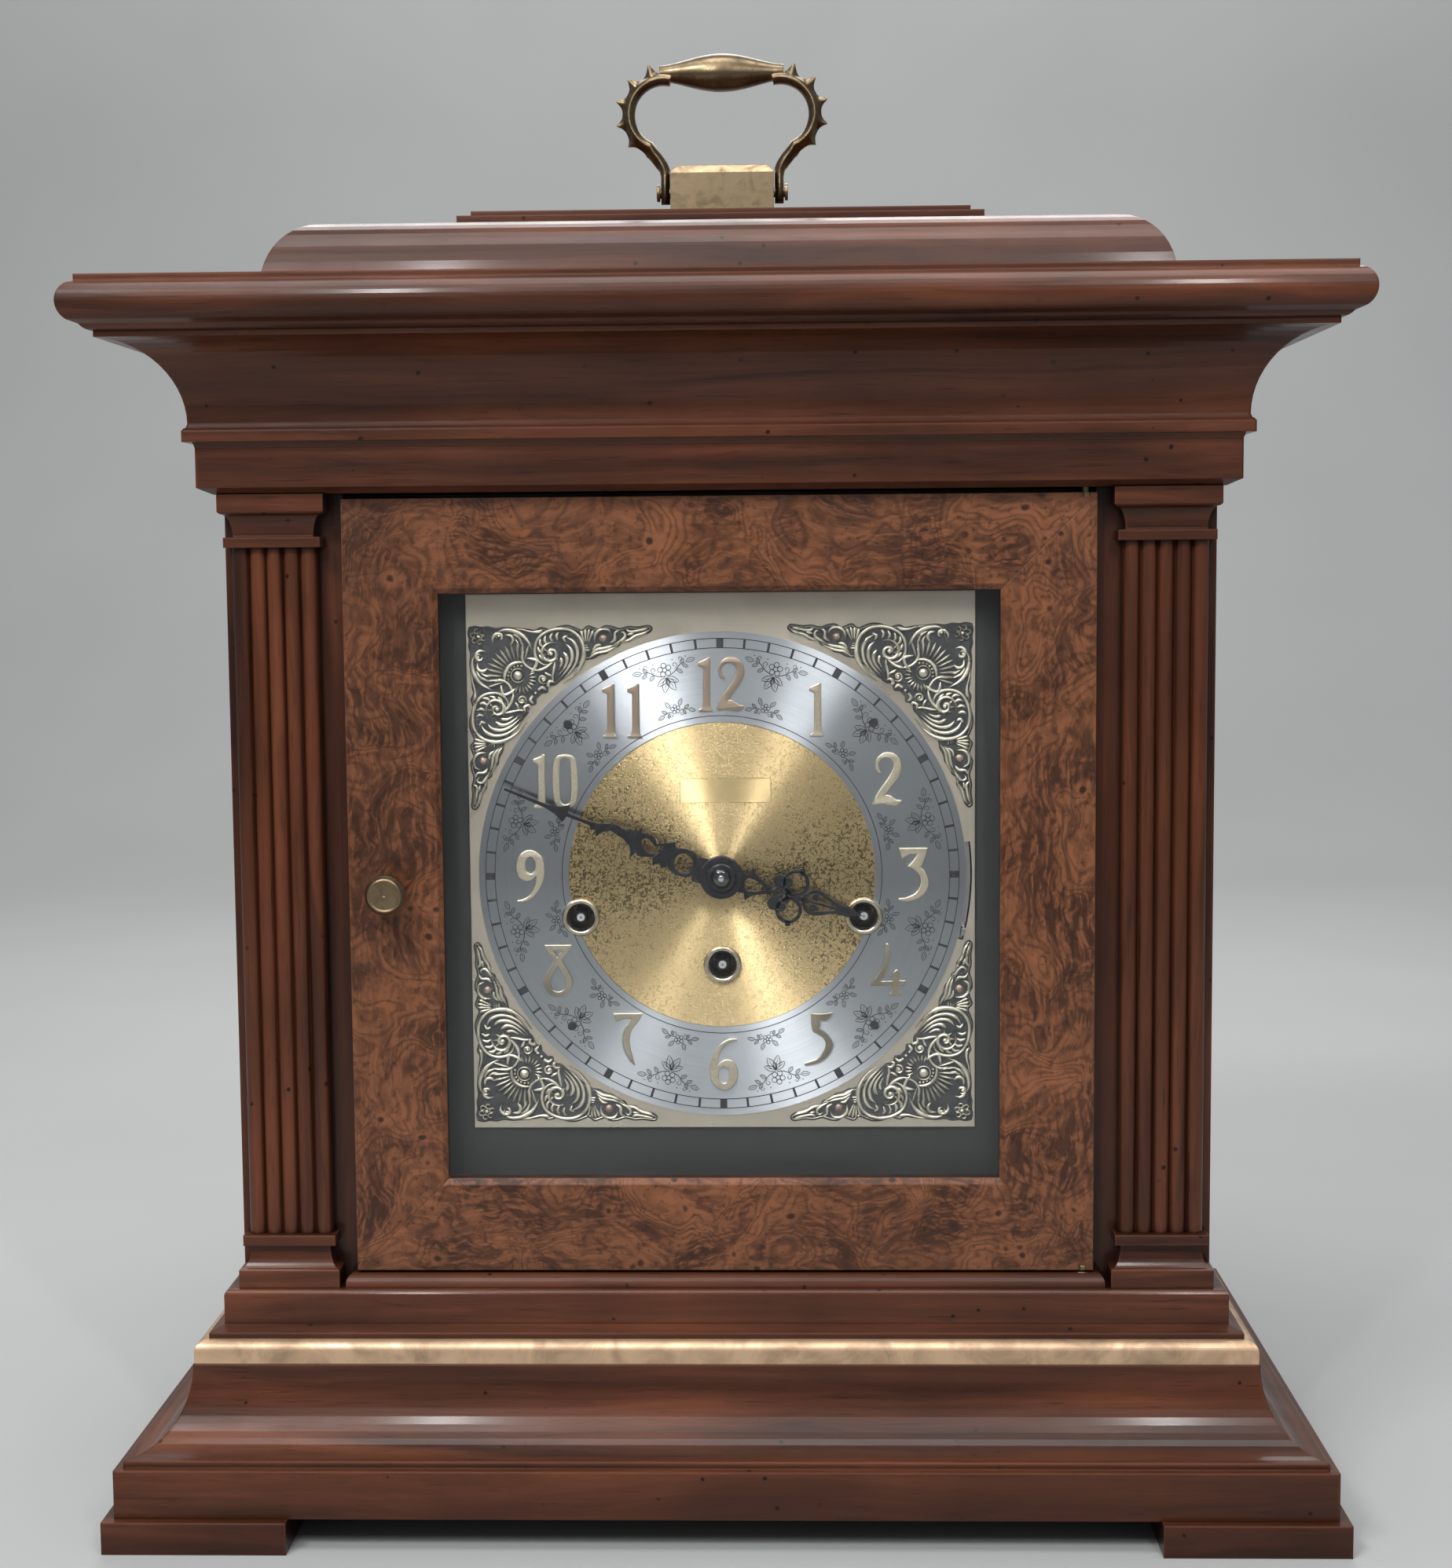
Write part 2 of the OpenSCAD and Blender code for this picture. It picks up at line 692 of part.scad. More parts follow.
module glass_beads() {
    w = 4.6;
    color(wood) difference() {
        translate([-light_half, glass_y + glass_t, light_z0])
            cube([2 * light_half, 5, light_z1 - light_z0]);
        translate([-light_half + w, glass_y, light_z0 + w])
            cube([2 * (light_half - w), 20, light_z1 - light_z0 - 2 * w]);
    }
}
module door_knob() {
    knob_x = -118.3;
    knob_z = 228;
    color(brass) translate([knob_x, door_y, knob_z]) rotate([90, 0, 0]) rotate_extrude() polygon([
        [0, 0], [4.6, 0], [4.6, 1.2], [2.9, 2.2], [2.9, 6.2], [6.2, 8.4], [7.1, 10], [7.1, 12], [6, 13.6],
        [5.5, 13.9], [5.2, 13.5], [0, 13.7]
    ]);
}
// Pivots of the door: a plate with its pin above and below, and a bored plate in each door end
module door_pivots() {
    color(brass) difference() {
        for (z = [door_z0, door_z1 - pivot_plate_t])
            translate([pivot_x, pivot_y, z]) cylinder(r = pivot_plate_r, h = pivot_plate_t);
        translate([pivot_x, pivot_y, 0]) cylinder(r = pivot_r + pivot_fit, h = 500);
    }
}

// Dial: mask board, plate, ring, centre disc, numerals, corner castings and grommets
wind_x = 51.5;
wind_dz = -15.2;
wind_low_dz = -32.8;
wind_places = [[-wind_x, dial_z + wind_dz], [wind_x, dial_z + wind_dz], [0, dial_z + wind_low_dz]];
grommet_r = 7;
hole_r = 5.3;
lever_bush_r = 6.95;
slot_r = 89.8;
slot_half = 0.9;
slot_a0 = -15.5;
slot_a1 = 7.5;
lever_a = -13.4;
dial_z0 = dial_z - 93.3;
dial_z1 = dial_z + 102.5;
module dial_mask() {
    color("#3f423e") difference() {
        translate([-case_half_w + panel_t, mask_y, case_floor_z])
            cube([2 * (case_half_w - panel_t), 4, case_top_z - case_floor_z]);
        translate([-75, mask_y - 1, 152]) cube([75 + 91, 6, 156]);
    }
}
// Fixed plates and pins on which the front door turns, and the pins of the rear door
module fixed_pivots() {
    color(brass) {
        for (z = [sill_top_z - pivot_plate_t, case_top_z])
            translate([pivot_x, pivot_y, z]) cylinder(r = pivot_plate_r, h = pivot_plate_t);
        translate([pivot_x, pivot_y, sill_top_z - eps]) cylinder(r = pivot_r, h = 6);
        translate([pivot_x, pivot_y, case_top_z - 7]) cylinder(r = pivot_r, h = 7 + eps);
        for (z = [rear_z0, rear_z1 - rear_pin_h])
            translate([rear_hinge_x, rear_hinge_y, z]) cylinder(r = rear_pin_r, h = rear_pin_h);
    }
}
module slot_shape() {
    step = (slot_a1 - slot_a0) / 10;
    polygon(concat(
        [for (i = [0:10]) (slot_r + slot_half) * [cos(slot_a0 + i * step), sin(slot_a0 + i * step)]],
        [for (i = [10:-1:0]) (slot_r - slot_half) * [cos(slot_a0 + i * step), sin(slot_a0 + i * step)]]
    ));
}
module wind_holes(r) {
    for (w = wind_places) translate([w[0], w[1]]) circle(r);
}
module dial_plate() {
    color("#a89c8a") facing(dial_y, mask_y - dial_y) difference() {
        translate([-dial_half_w, dial_z0]) square([2 * dial_half_w, dial_z1 - dial_z0]);
        translate([0, dial_z]) circle(5);
        wind_holes(hole_r);
        translate([0, dial_z]) slot_shape();
    }
    color("#a89c8a") difference() {
        rod_y(0, dial_z, lever_bush_r, mask_y - eps, mask_y + 1.7);
        rod_y(0, dial_z, 5, mask_y - 1, mask_y + 3);
    }
}
ring_t = 0.8;
module chapter_ring() {
    color(silver) facing(dial_y - ring_t, ring_t) difference() {
        translate([0, dial_z]) circle(ring_r, $fn = 96);
        translate([0, dial_z]) circle(centre_r + 0.2, $fn = 96);
        wind_holes(hole_r);
    }
}
module dial_rivets() {
    color(black) for (i = [0:3]) {
        a = 45 + i * 90;
        rod_y(78 * cos(a), dial_z + 78 * sin(a), 1.6, dial_y - ring_t - 0.8, dial_y - ring_t);
    }
}
module dial_centre() {
    color(gilt) facing(dial_y - 0.5, 0.5) difference() {
        translate([0, dial_z]) circle(centre_r, $fn = 96);
        translate([0, dial_z]) circle(5);
        wind_holes(hole_r);
    }
}
// Raised figures: outlines about their own middle, 19.4 mm high
figures = [
    [[0, 9.7], [2.9, 9], [4.3, 6], [4.6, 0], [4.3, -6], [2.9, -9], [0, -9.7], [-2.9, -9], [-4.3, -6],
        [-4.6, 0], [-4.3, 6], [-2.9, 9]],
    [[0.9, 9.8, 1], [1.7, 9.7, 1], [1.65, -6, 1], [1.8, -8.2], [2.5, -9.1, 1], [2.5, -9.8, 1],
        [-2.5, -9.8, 1], [-2.5, -9.1, 1], [-1.4, -8.2], [-0.9, -6, 1], [-0.85, 5.9, 1], [-1.5, 6.5],
        [-2.6, 6.7, 1], [-2.5, 7.9, 1], [-1.5, 8.4], [0.2, 9.1]],
    [[-1.9, 2, 1], [-3.6, 2.5], [-4.4, 4.7], [-3.9, 7.3], [-1.9, 9.3], [0.4, 9.7], [2.9, 9], [4.6, 7],
        [5.1, 4.4], [4.5, 1.9], [2.9, -0.7], [0.7, -3.5], [-0.6, -5.8, 1], [0.1, -5.7], [1.5, -6.3],
        [3.2, -7.5], [5.1, -7.7, 1], [4.4, -8.9], [2.7, -9.7], [0.1, -9.3], [-2.2, -8.9], [-4.4, -9.4],
        [-5, -9, 1], [-4.1, -6], [-2.4, -3.2], [0.1, 0.2], [1.8, 3.3], [2.1, 5.3], [1.4, 7.1], [-0.5, 7.9],
        [-2.4, 7], [-3.3, 5.3], [-2.9, 3.6]],
    [[-5.2, 9.7, 1], [5.1, 9.7, 1], [4.6, 7.3], [3.4, 4.2], [2.5, 2.5, 1], [4, 1.2], [5.3, -1.4],
        [5.3, -4.6], [3.6, -7.4], [0.6, -9.1], [-2.6, -9.8], [-5.4, -9.3, 1], [-5.2, -8.7], [-2.5, -8.3],
        [0.4, -7], [2.2, -4.6], [2.6, -1.8], [1.6, 0.6], [-0.4, 2.2], [-2, 2.9, 1], [-0.7, 4.4], [0.6, 6],
        [1.6, 7.6, 1], [-1.8, 7.3], [-3.4, 6.1], [-4.2, 5.8, 1], [-4.7, 7.8]],
    [[-0.6, 9.5], [0.4, 9], [1, 6.5], [0.3, 2], [-1.1, -2], [-2.5, -4.2, 1], [1.4, -4.2, 1], [1.5, -2],
        [2.2, -0.7], [3.3, -0.1], [4.1, -1.2], [4.2, -4, 1], [6.4, -4, 1], [6, -6, 1], [4.2, -6, 1],
        [4.2, -7.6], [4.9, -8.9, 1], [4.9, -9.7, 1], [0.4, -9.7, 1], [0.4, -8.9, 1], [1.3, -7.6],
        [1.3, -6, 1], [-6.5, -6, 1], [-5.5, -4.2], [-3.1, -0.9], [-1.4, 3.7], [-1, 8.2]],
    [[-2.7, 9.5, 1], [1.3, 9.2], [5.3, 9.8, 1], [4.2, 8], [2.7, 6.9], [0.6, 6.9, 1], [0.3, 3.8, 1],
        [2.9, 2.1], [4.9, -0.7], [4.9, -3.6], [2.9, -6.7], [-0.5, -9], [-5, -9.8, 1], [-4.8, -8.9],
        [-0.5, -7.4], [1.8, -4.7], [2.6, -1.9], [1.5, 0.6], [-0.5, 1.9], [-2.2, 2.8, 1], [-2.6, 5.5]],
    [[5.1, 9.4, 1], [2, 9.2], [-1.4, 7], [-4.2, 2.4], [-5.1, -2.3], [-4, -7], [-0.1, -9.7], [3.7, -8],
        [5.3, -4], [4.5, 0], [2.3, 1.6], [-0.2, 1.3], [-1.9, -0.2, 1], [-1.7, 2.8], [-0.2, 6.2],
        [2.4, 8.2], [5, 8.8, 1]],
    [[-5.3, 9.6, 1], [5.3, 9.6, 1], [4, 6.9], [1.2, 3.2], [0.5, -0.9], [1.2, -5.1], [2.5, -9.7, 1],
        [-0.2, -6.5], [-2, -1.6], [-1.8, 2.7], [0.1, 5.6], [1.6, 7.6, 1], [-0.9, 7.8], [-3.2, 6.9],
        [-4.3, 6.6, 1]],
    [[-4.8, 9.5, 1], [5.2, 9.5, 1], [4.4, 7.5], [1.7, 3.6], [4, -0.6], [5.3, -4.1], [3.7, -8.2], [0, -9.7],
        [-3.7, -8.2], [-5.3, -4.1], [-4, -0.6], [-1.5, 3.6], [-4, 7.5]]
];
// Openings inside the figures 0, 6 and 8
zero_eye = [[0, 8.6], [1.6, 7.6], [2, 4.5], [2.1, 0], [2, -4.5], [1.6, -7.6], [0, -8.6], [-1.6, -7.6],
    [-2, -4.5], [-2.1, 0], [-2, 4.5], [-1.6, 7.6]];
six_eye = [[0.1, -0.9], [1.6, -2], [2, -4.2], [1.4, -6.4], [0.1, -7.2], [-1.2, -6.4], [-1.8, -4.2],
    [-1.4, -2]];
eight_top_eye = [[-1.5, 7.5, 1], [1.5, 7.5, 1], [0, 4.9, 1]];
eight_eye = [[0, 1.6, 1], [2.3, -2.4], [2.8, -4.9], [1.9, -7], [0, -7.7], [-1.9, -7], [-2.8, -4.9],
    [-2.3, -2.4]];
module digit(n) {
    if (n == 9) rotate(180) digit(6);
    if (n < 9) difference() {
        polygon(smooth(figures[n], 2));
        if (n == 0) polygon(smooth(zero_eye, 2));
        if (n == 6) polygon(smooth(six_eye, 2));
        if (n == 8) polygon(smooth(eight_top_eye, 2));
        if (n == 8) polygon(smooth(eight_eye, 2));
    }
}
numeral_r = 69.5;
module numerals() {
    color("#cbb99a") facing(dial_y - ring_t - 0.7, 0.7) for (h = [1:12]) {
        a = 90 - 30 * h;
        translate([numeral_r * cos(a), dial_z + numeral_r * sin(a)]) {
            if (h < 10) digit(h);
            if (h >= 10) {
                translate([-5.3, 0]) digit(1);
                translate([3.7, 0]) digit(h - 10);
            }
        }
    }
}
// One corner casting, from the dial's corner along one leg to its tip and to the middle of the long side
corner_edge = [
    [0.4, 0.4], [2.6, -0.1], [5, 0.3], [7.6, 0.1], [10.2, 0.7], [13.5, 0.4], [17.2, 0.7], [21.8, 1.1],
    [24.4, 1.5], [26.4, 0.6], [28.2, 0.9], [30, 1.3], [33, 0.2], [36.5, -0.1], [39.6, 0.9],
    [41.4, 1.5], [43.5, 0.1], [46.2, 0.9], [47.4, 1.2], [49.6, 0.1], [52.3, 0.3], [55, 1.1],
    [58.2, 0.4], [61.4, 0.6], [65.6, 0.1], [66.9, 1.6], [65.4, 3.2], [62.6, 3.9], [60.6, 4.6],
    [58.6, 6.1], [56.2, 6], [54.6, 7.9], [52.2, 8.3], [50.4, 10.3], [47.8, 10.9], [45.4, 12.2],
    [42.2, 12.9], [38.4, 15.9], [34.2, 19.3], [31.6, 21.6], [29.2, 22], [28.6, 24.3], [26.6, 24.6]
];
scroll_middle = [30.1, 10.2];
scroll_sweep = [[24.3, 8.2], [25.6, 4.6], [28.9, 2.2], [33.2, 1.4], [37.4, 2.1], [40.4, 4.8], [41.6, 8.8],
    [40.9, 13.2], [38.2, 17]];
inner_sweep = [[35.4, 4.6], [38.2, 6.2], [39.4, 9.2], [38.6, 13], [36.4, 16.4], [33.4, 19]];
edge_sweep = [[11.8, 2.6], [14.2, 1.9], [17.2, 2.4], [20.2, 4.4], [21.8, 7]];
tip_sweep = [[52, 5.6], [55.6, 4.8], [59, 3.6], [62.4, 2.6], [65, 1.8]];
corner_ground = 0.5;
corner_relief = 0.9;
shell_middle = 18.6;
corner_inset = 0.7;
// The same edge back to the corner along the other leg, without the corner itself
function swap(pts) = [for (i = [len(pts) - 1:-1:1]) [pts[i][1], pts[i][0]]];
// Stroke of half width w along points, narrow at both ends
module corner_stroke(pts, w) {
    n = len(pts) - 1;
    side = [for (i = [0:n])
        let (d = pts[min(i + 1, n)] - pts[max(i - 1, 0)])
        w * sin(20 + 140 * i / n) * [-d[1], d[0]] / norm(d)];
    polygon(concat([for (i = [0:n]) pts[i] + side[i]], [for (i = [n:-1:0]) pts[i] - side[i]]));
}
// Points of a spiral about c from radius r0 to r1 over a turn
function spiral(c, r0, r1, a0, turn, n = 22) = [for (i = [0:n])
    let (a = a0 + turn * i / n, r = r0 + (r1 - r0) * i / n)
    c + r * [cos(a), sin(a)]];
module corner_half() {
    corner_stroke(spiral(scroll_middle, 4.3, 1.1, -60, -470), 0.6);
    corner_stroke(scroll_sweep, 0.8);
    corner_stroke(inner_sweep, 0.7);
    corner_stroke(edge_sweep, 0.7);
    corner_stroke(tip_sweep, 0.6);
    translate([49, 4.9]) circle(1.5, $fn = 24);
    for (i = [0:3]) {
        x = 42.3 + i * 0.45;
        d = [i - 1.5, -4.6] / 4.8;
        corner_stroke([[x, 6.4], [x, 6.4] + 2.4 * d, [x, 6.4] + 4.6 * d], 0.32);
    }
}
module corner_relief_shape() {
    corner_half();
    mirror([1, -1]) corner_half();
    translate([3.9, 3.9]) {
        circle(0.8, $fn = 16);
        for (i = [0:5]) translate(2 * [cos(60 * i + 15), sin(60 * i + 15)]) circle(0.8, $fn = 16);
    }
    translate([shell_middle, shell_middle]) {
        circle(1.8, $fn = 24);
        for (i = [0:10]) {
            a = 225 - 60 + 12 * i;
            u = [cos(a), sin(a)];
            corner_stroke([6.2 * u, 9 * u, 12 * u], 0.5);
        }
        corner_stroke([for (i = [0:12]) let (a = 225 - 72 + 12 * i) 4.6 * [cos(a), sin(a)]], 0.7);
        for (i = [0:6]) {
            a = 45 - 54 + 18 * i;
            u = [cos(a), sin(a)];
            corner_stroke([2.6 * u, 4 * u, 5.4 * u], 0.5);
        }
    }
}
module spandrels() {
    corner = dial_half_w - corner_inset;
    color("#8d8a7a") translate([0, 0, dial_z])
        for (sx = [0, 1], sz = [0, 1]) mirror([sx, 0, 0]) mirror([0, 0, sz]) {
            facing(dial_y - corner_ground, corner_ground)
                translate([-corner, corner]) mirror([0, 1])
                    polygon(smooth(concat(corner_edge, swap(corner_edge)), 2));
            facing(dial_y - corner_ground - corner_relief, corner_relief)
                translate([-corner, corner]) mirror([0, 1]) corner_relief_shape();
        }
}
module grommets() {
    color(brass) difference() {
        union() {
            for (w = wind_places) {
                rod_y(w[0], w[1], grommet_r, dial_y - ring_t - 1.2, dial_y - ring_t);
                rod_y(w[0], w[1], hole_r - 0.1, dial_y - ring_t - 0.1, mask_y);
            }
        }
        for (w = wind_places) rod_y(w[0], w[1], hole_r - 0.9, dial_y - 10, mask_y + 10);
    }
}

// Hands, drawn pointing up from the centre, and the parts that turn them
hand_t = 0.6;
hour_y = dial_y - 5.2;
minute_y = dial_y - 8;
// Right side of the minute hand up to its tip, then its left side down, and its two eyes
minute_tip = 84.4;
minute_line = [
    [4.5, 5.5, 1], [4.5, 7.6, 1], [4.1, 9.6, 1], [3.4, 10.6, 1], [4.3, 11.4, 1], [5, 13.4], [4.9, 16],
    [4, 18.4, 1], [4.1, 19.2, 1], [6.1, 20.1, 1], [5.2, 21.2, 1], [3.6, 24.2], [2.6, 26.2, 1],
    [3.6, 26.8], [4.7, 28.8], [4.6, 31.2, 1], [4.4, 32.4, 1], [6.2, 33.4, 1], [4.3, 33.9, 1],
    [4.9, 35.4, 1], [3.7, 35.4, 1], [4.2, 37, 1], [3.1, 38.6], [3.5, 41.4], [3.3, 44.2], [2.2, 46.6],
    [1.3, 49.4], [0.8, 55], [0.7, 60, 1], [3.7, 60.4, 1], [1.9, 63.4], [1, 67], [0.7, 72],
    [0.5, minute_tip, 1],
    [-0.4, minute_tip, 1],
    [-0.6, 72], [-0.9, 67], [-1.8, 63.4], [-3.3, 60.6, 1], [-0.7, 60.2, 1], [-0.5, 55], [-0.5, 51, 1],
    [-1.9, 50.2, 1], [-1.3, 48.6, 1], [-3.4, 47.3, 1], [-1.4, 46.2], [0.5, 43.6], [-0.1, 40],
    [-0.7, 37.2], [-2.1, 34.9], [-5.6, 33, 1], [-3.2, 32, 1], [-4.2, 30.9, 1], [-3.5, 28.6],
    [-2.5, 25.8, 1], [-5.2, 24.7, 1], [-3.7, 22.9, 1], [-5, 21.3, 1], [-3.6, 19.6, 1], [-4.9, 17.4],
    [-5.2, 14.6], [-4.6, 11.6], [-3.4, 10.3, 1], [-5.2, 9.3, 1], [-4.7, 5.5, 1]
];
minute_eye = [[1.9, 31.6], [3.1, 29.9], [2.3, 27.9], [1.4, 26.5, 1], [2.7, 23.4, 1], [0.9, 23.6],
    [-0.9, 25.2], [-1.4, 27.9], [-0.2, 30.6]];
hub_r = 7.7;
function stretched(pts, s) = [for (q = pts) len(q) > 2 ? [q[0], q[1] * s, 1] : [q[0], q[1] * s]];
module minute_outline() {
    circle(hub_r);
    polygon(smooth(stretched(minute_line, minute_len / minute_tip), 2));
}
module minute_holes() {
    s = minute_len / minute_tip;
    circle(arbor_r);
    translate([-0.25, 14.6 * s]) circle(3.4);
    polygon(smooth(stretched(minute_eye, s), 3));
}
// The hour hand: neck, diamond, two rings with lobes, and a pierced point
hour_tip = 53;
neck_line = [[4, 5.4, 1], [3.4, 9.2, 1], [6.1, 10.4, 1], [3.8, 12.4], [2.2, 15.8], [1.3, 19.6, 1],
    [-1.3, 19.6, 1], [-2.3, 15.8], [-3.9, 12.4], [-6.3, 10.4, 1], [-3.4, 9.2, 1], [-4, 5.4, 1]];
neck_eye = [[-1.9, 9.2], [-2.2, 11.6], [-0.4, 16.4, 1], [0.4, 16.4, 1], [2.2, 11.6], [1.9, 9.2], [0, 8.6]];
point_line = [[0, 30], [2.2, 30.8], [4.6, 33.6], [4.3, 37.2], [2.6, 41.4], [1.8, 45], [1.9, 47.6],
    [0.6, 51.2], [0, hour_tip, 1], [-0.6, 51.2], [-1.9, 47.6], [-1.8, 45], [-2.6, 41.4], [-4.3, 37.2],
    [-4.6, 33.6], [-2.2, 30.8]];
point_eye = [[0.7, 32.2], [2.5, 33], [3.2, 35], [2.4, 38.4], [0.6, 43.4, 1], [0.5, 38]];
module hour_outline() {
    s = hour_len / hour_tip;
    circle(hub_r);
    polygon(smooth(stretched(neck_line, s), 2));
    polygon([[0, 18.2 * s], [2.8, 21.5 * s], [0, 24.8 * s], [-2.8, 21.5 * s]]);
    translate([-0.9, 23.5 * s]) square([1.8, 8 * s]);
    polygon(smooth(stretched(point_line, s), 2));
    for (side = [-1, 1]) {
        translate([side * 5.1, 26.6 * s]) circle(4.9);
        translate([side * 4.3, 20.8 * s]) circle(2.4);
        translate([side * 9.9, 27.6 * s]) circle(1.3);
    }
}
module hour_holes() {
    s = hour_len / hour_tip;
    circle(pipe_r);
    polygon(smooth(stretched(neck_eye, s), 2));
    polygon([[0, 20.3 * s], [1, 21.5 * s], [0, 22.7 * s], [-1, 21.5 * s]]);
    for (side = [0, 1]) mirror([side, 0]) {
        translate([5.3, 26.8 * s]) circle(3.5);
        polygon(smooth(stretched(point_eye, s), 2));
    }
}
// Places children 0 less children 1 as a hand at y, turned clockwise from twelve
module hand(y, angle) {
    translate([0, 0, dial_z]) rotate([0, angle, 0]) difference() {
        facing(y, hand_t) children(0);
        facing(y - 1, hand_t + 2) children(1);
    }
}
module minute_hand() {
    color(black) hand(minute_y, minute_angle) {
        minute_outline();
        minute_holes();
    }
}
module hour_hand() {
    color(black) hand(hour_y, hour_angle) {
        hour_outline();
        hour_holes();
    }
}
module hand_nut() {
    color(black) difference() {
        union() {
            rod_y(0, dial_z, 5.2, minute_y - 0.9, minute_y);
            rod_y(0, dial_z, 3.3, minute_y - 2.6, minute_y - 0.9);
        }
        rod_y(0, dial_z, arbor_r, minute_y - 3, minute_y + 1);
    }
}

// Motion work: cannon pinion 12, minute wheel 36 and pinion 12, hour wheel 48
cannon_t = 12;
reverse_t = 36;
reverse_pinion_t = 12;
hour_t = 48;
cannon_m = 0.75;
hour_m = 0.6;
reverse_d = (cannon_t + reverse_t) * cannon_m / 2;
cannon_y = -56;
hour_gear_y = -59.6;
plate_y = -50;
plate_t = 1.8;
back_plate_y = 2;
arbor_r = 1.5;
cannon_r = 2.4;
pipe_r = 3.2;
great_t = 56;
centre_t = 10;
great_m = 2 * abs(wind_low_dz) / (great_t + centre_t);
module gear(t, m, ph, y, w, bore) {
    facing(y, w) difference() {
        polygon(gear_points(t, m, ph));
        circle(bore);
    }
}
module centre_arbor() {
    color(steel) {
        rod_y(0, dial_z, arbor_r, minute_y - 2.2, back_plate_y + 4);
        rod_y(0, dial_z, cannon_r, minute_y + hand_t, plate_y - 0.6);
        translate([0, 0, dial_z]) {
            gear(cannon_t, cannon_m, 0.25 * cannon_t + 0.5, cannon_y, 2.4, arbor_r - 0.2);
            gear(centre_t, great_m, -0.25 * centre_t + 0.5, barrel_y1 - 1, 4, arbor_r - 0.2);
        }
    }
}
module hour_wheel() {
    color(brass) difference() {
        union() {
            rod_y(0, dial_z, pipe_r, hour_y - 0.4, hour_gear_y + 1.2);
            translate([0, 0, dial_z]) gear(hour_t, hour_m, 0.25 * hour_t, hour_gear_y, 1.2, 2);
        }
        rod_y(0, dial_z, cannon_r + 0.05, hour_y - 2, hour_gear_y + 4);
    }
}
module minute_wheel() {
    z = dial_z + reverse_d;
    color(brass) difference() {
        translate([0, 0, z]) {
            gear(reverse_t, cannon_m, -0.25 * reverse_t, cannon_y + 0.4, 1.4, 1);
            gear(reverse_pinion_t, hour_m, -0.25 * reverse_pinion_t + 0.5, hour_gear_y - 0.6, 4.8, 1);
        }
        rod_y(0, z, 1.05, -80, 0);
    }
}
module movement_plates() {
    half_w = 70;
    z0 = 165;
    z1 = 283;
    color(brass) difference() {
        union() {
            for (y = [plate_y, back_plate_y])
                translate([-half_w, y, z0]) cube([2 * half_w, plate_t, z1 - z0]);
            rod_y(0, dial_z + reverse_d, 1, hour_gear_y - 1.4, plate_y);
        }
        rod_y(0, dial_z, arbor_r + 0.05, -100, 50);
        for (w = wind_places) rod_y(w[0], w[1], wind_r + 0.05, -100, 50);
        rod_y(drum_x, drum_z, drum_arbor_r + 0.05, -100, 50);
        for (sx = [-1, 1], z = [z0 + 30, z1 - 24])
            translate([sx * 26 - 8, plate_y - 1, z - 6]) cube([16, 4, 12]);
    }
}
module movement_pillars() {
    bridge_y = 52;
    color(steel) {
        for (sx = [-1, 1], z = [172, 276])
            rod_y(sx * 63, z, 3.5, plate_y + plate_t, back_plate_y);
        for (sx = [-1, 1], z = [186, 274])
            rod_y(sx * 40, z, 2.5, mask_y, plate_y);
        difference() {
            translate([drum_x - 16, bridge_y, hammer_z - 6]) cube([44, plate_t, 34]);
            rod_y(drum_x, drum_z, drum_arbor_r + 0.05, 0, 100);
        }
        rod_y(hammer_x, hammer_z, 1.5, back_plate_y + plate_t, bridge_y);
        rod_y(drum_x - 12, hammer_z, 2, back_plate_y + plate_t, bridge_y);
        rod_y(drum_x + 14, hammer_z + 24, 2, back_plate_y + plate_t, bridge_y);
    }
}
module seat_board() {
    color(wood) translate([-case_half_w + panel_t, -54, 140]) cube([2 * (case_half_w - panel_t), 62, 12]);
    color(steel) for (sx = [-1, 1])
        translate([sx * 60 - 5, plate_y + plate_t, 152]) cube([10, back_plate_y - plate_y - plate_t, 15]);
}

// Winding arbors, mainspring barrels and their great wheels
wind_r = 2.9;
barrel_y0 = -40;
barrel_y1 = -16;
side_great_t = 56;
side_great_m = 0.75;
drum_pinion_t = 10;
drum_x = wind_x;
drum_d = (side_great_t + drum_pinion_t) * side_great_m / 2;
drum_z = dial_z + wind_dz - drum_d;
drum_arbor_r = 1.5;
module winding_arbor(w) {
    color(steel) {
        rod_y(w[0], w[1], wind_r, -58, back_plate_y + plate_t);
        translate([w[0] - 2, -64, w[1] - 2]) cube([4, 6 + eps, 4]);
        rod_y(w[0], w[1], 1.4, -64.6, -63.9);
    }
}
module strike_arbor() {
    winding_arbor(wind_places[0]);
}
module chime_arbor() {
    winding_arbor(wind_places[1]);
}
module going_arbor() {
    winding_arbor(wind_places[2]);
}
module barrel(w, r, t, m, ph) {
    wall = 1.5;
    color(brass) difference() {
        union() {
            rod_y(w[0], w[1], r, barrel_y0, barrel_y1);
            translate([w[0], 0, w[1]]) gear(t, m, ph, barrel_y1, 2, wind_r);
        }
        difference() {
            rod_y(w[0], w[1], r - wall, barrel_y0 + wall, barrel_y1 - wall);
            rod_y(w[0], w[1], wind_r + 2, barrel_y0, barrel_y1);
        }
        rod_y(w[0], w[1], wind_r + 0.05, -100, 50);
    }
}
side_barrel_r = 19.2;
module going_barrel() {
    barrel(wind_places[2], 24, great_t, great_m, 0.25 * great_t);
}
module strike_barrel() {
    barrel(wind_places[0], side_barrel_r, side_great_t, side_great_m, -0.25 * side_great_t);
}
module chime_barrel() {
    barrel(wind_places[1], side_barrel_r, side_great_t, side_great_m, -0.25 * side_great_t);
}

// Chime selector, drum, hammers, rods and their block
lever_arm_a = 32;
lever_y = -61.6;
lever_t = 0.8;
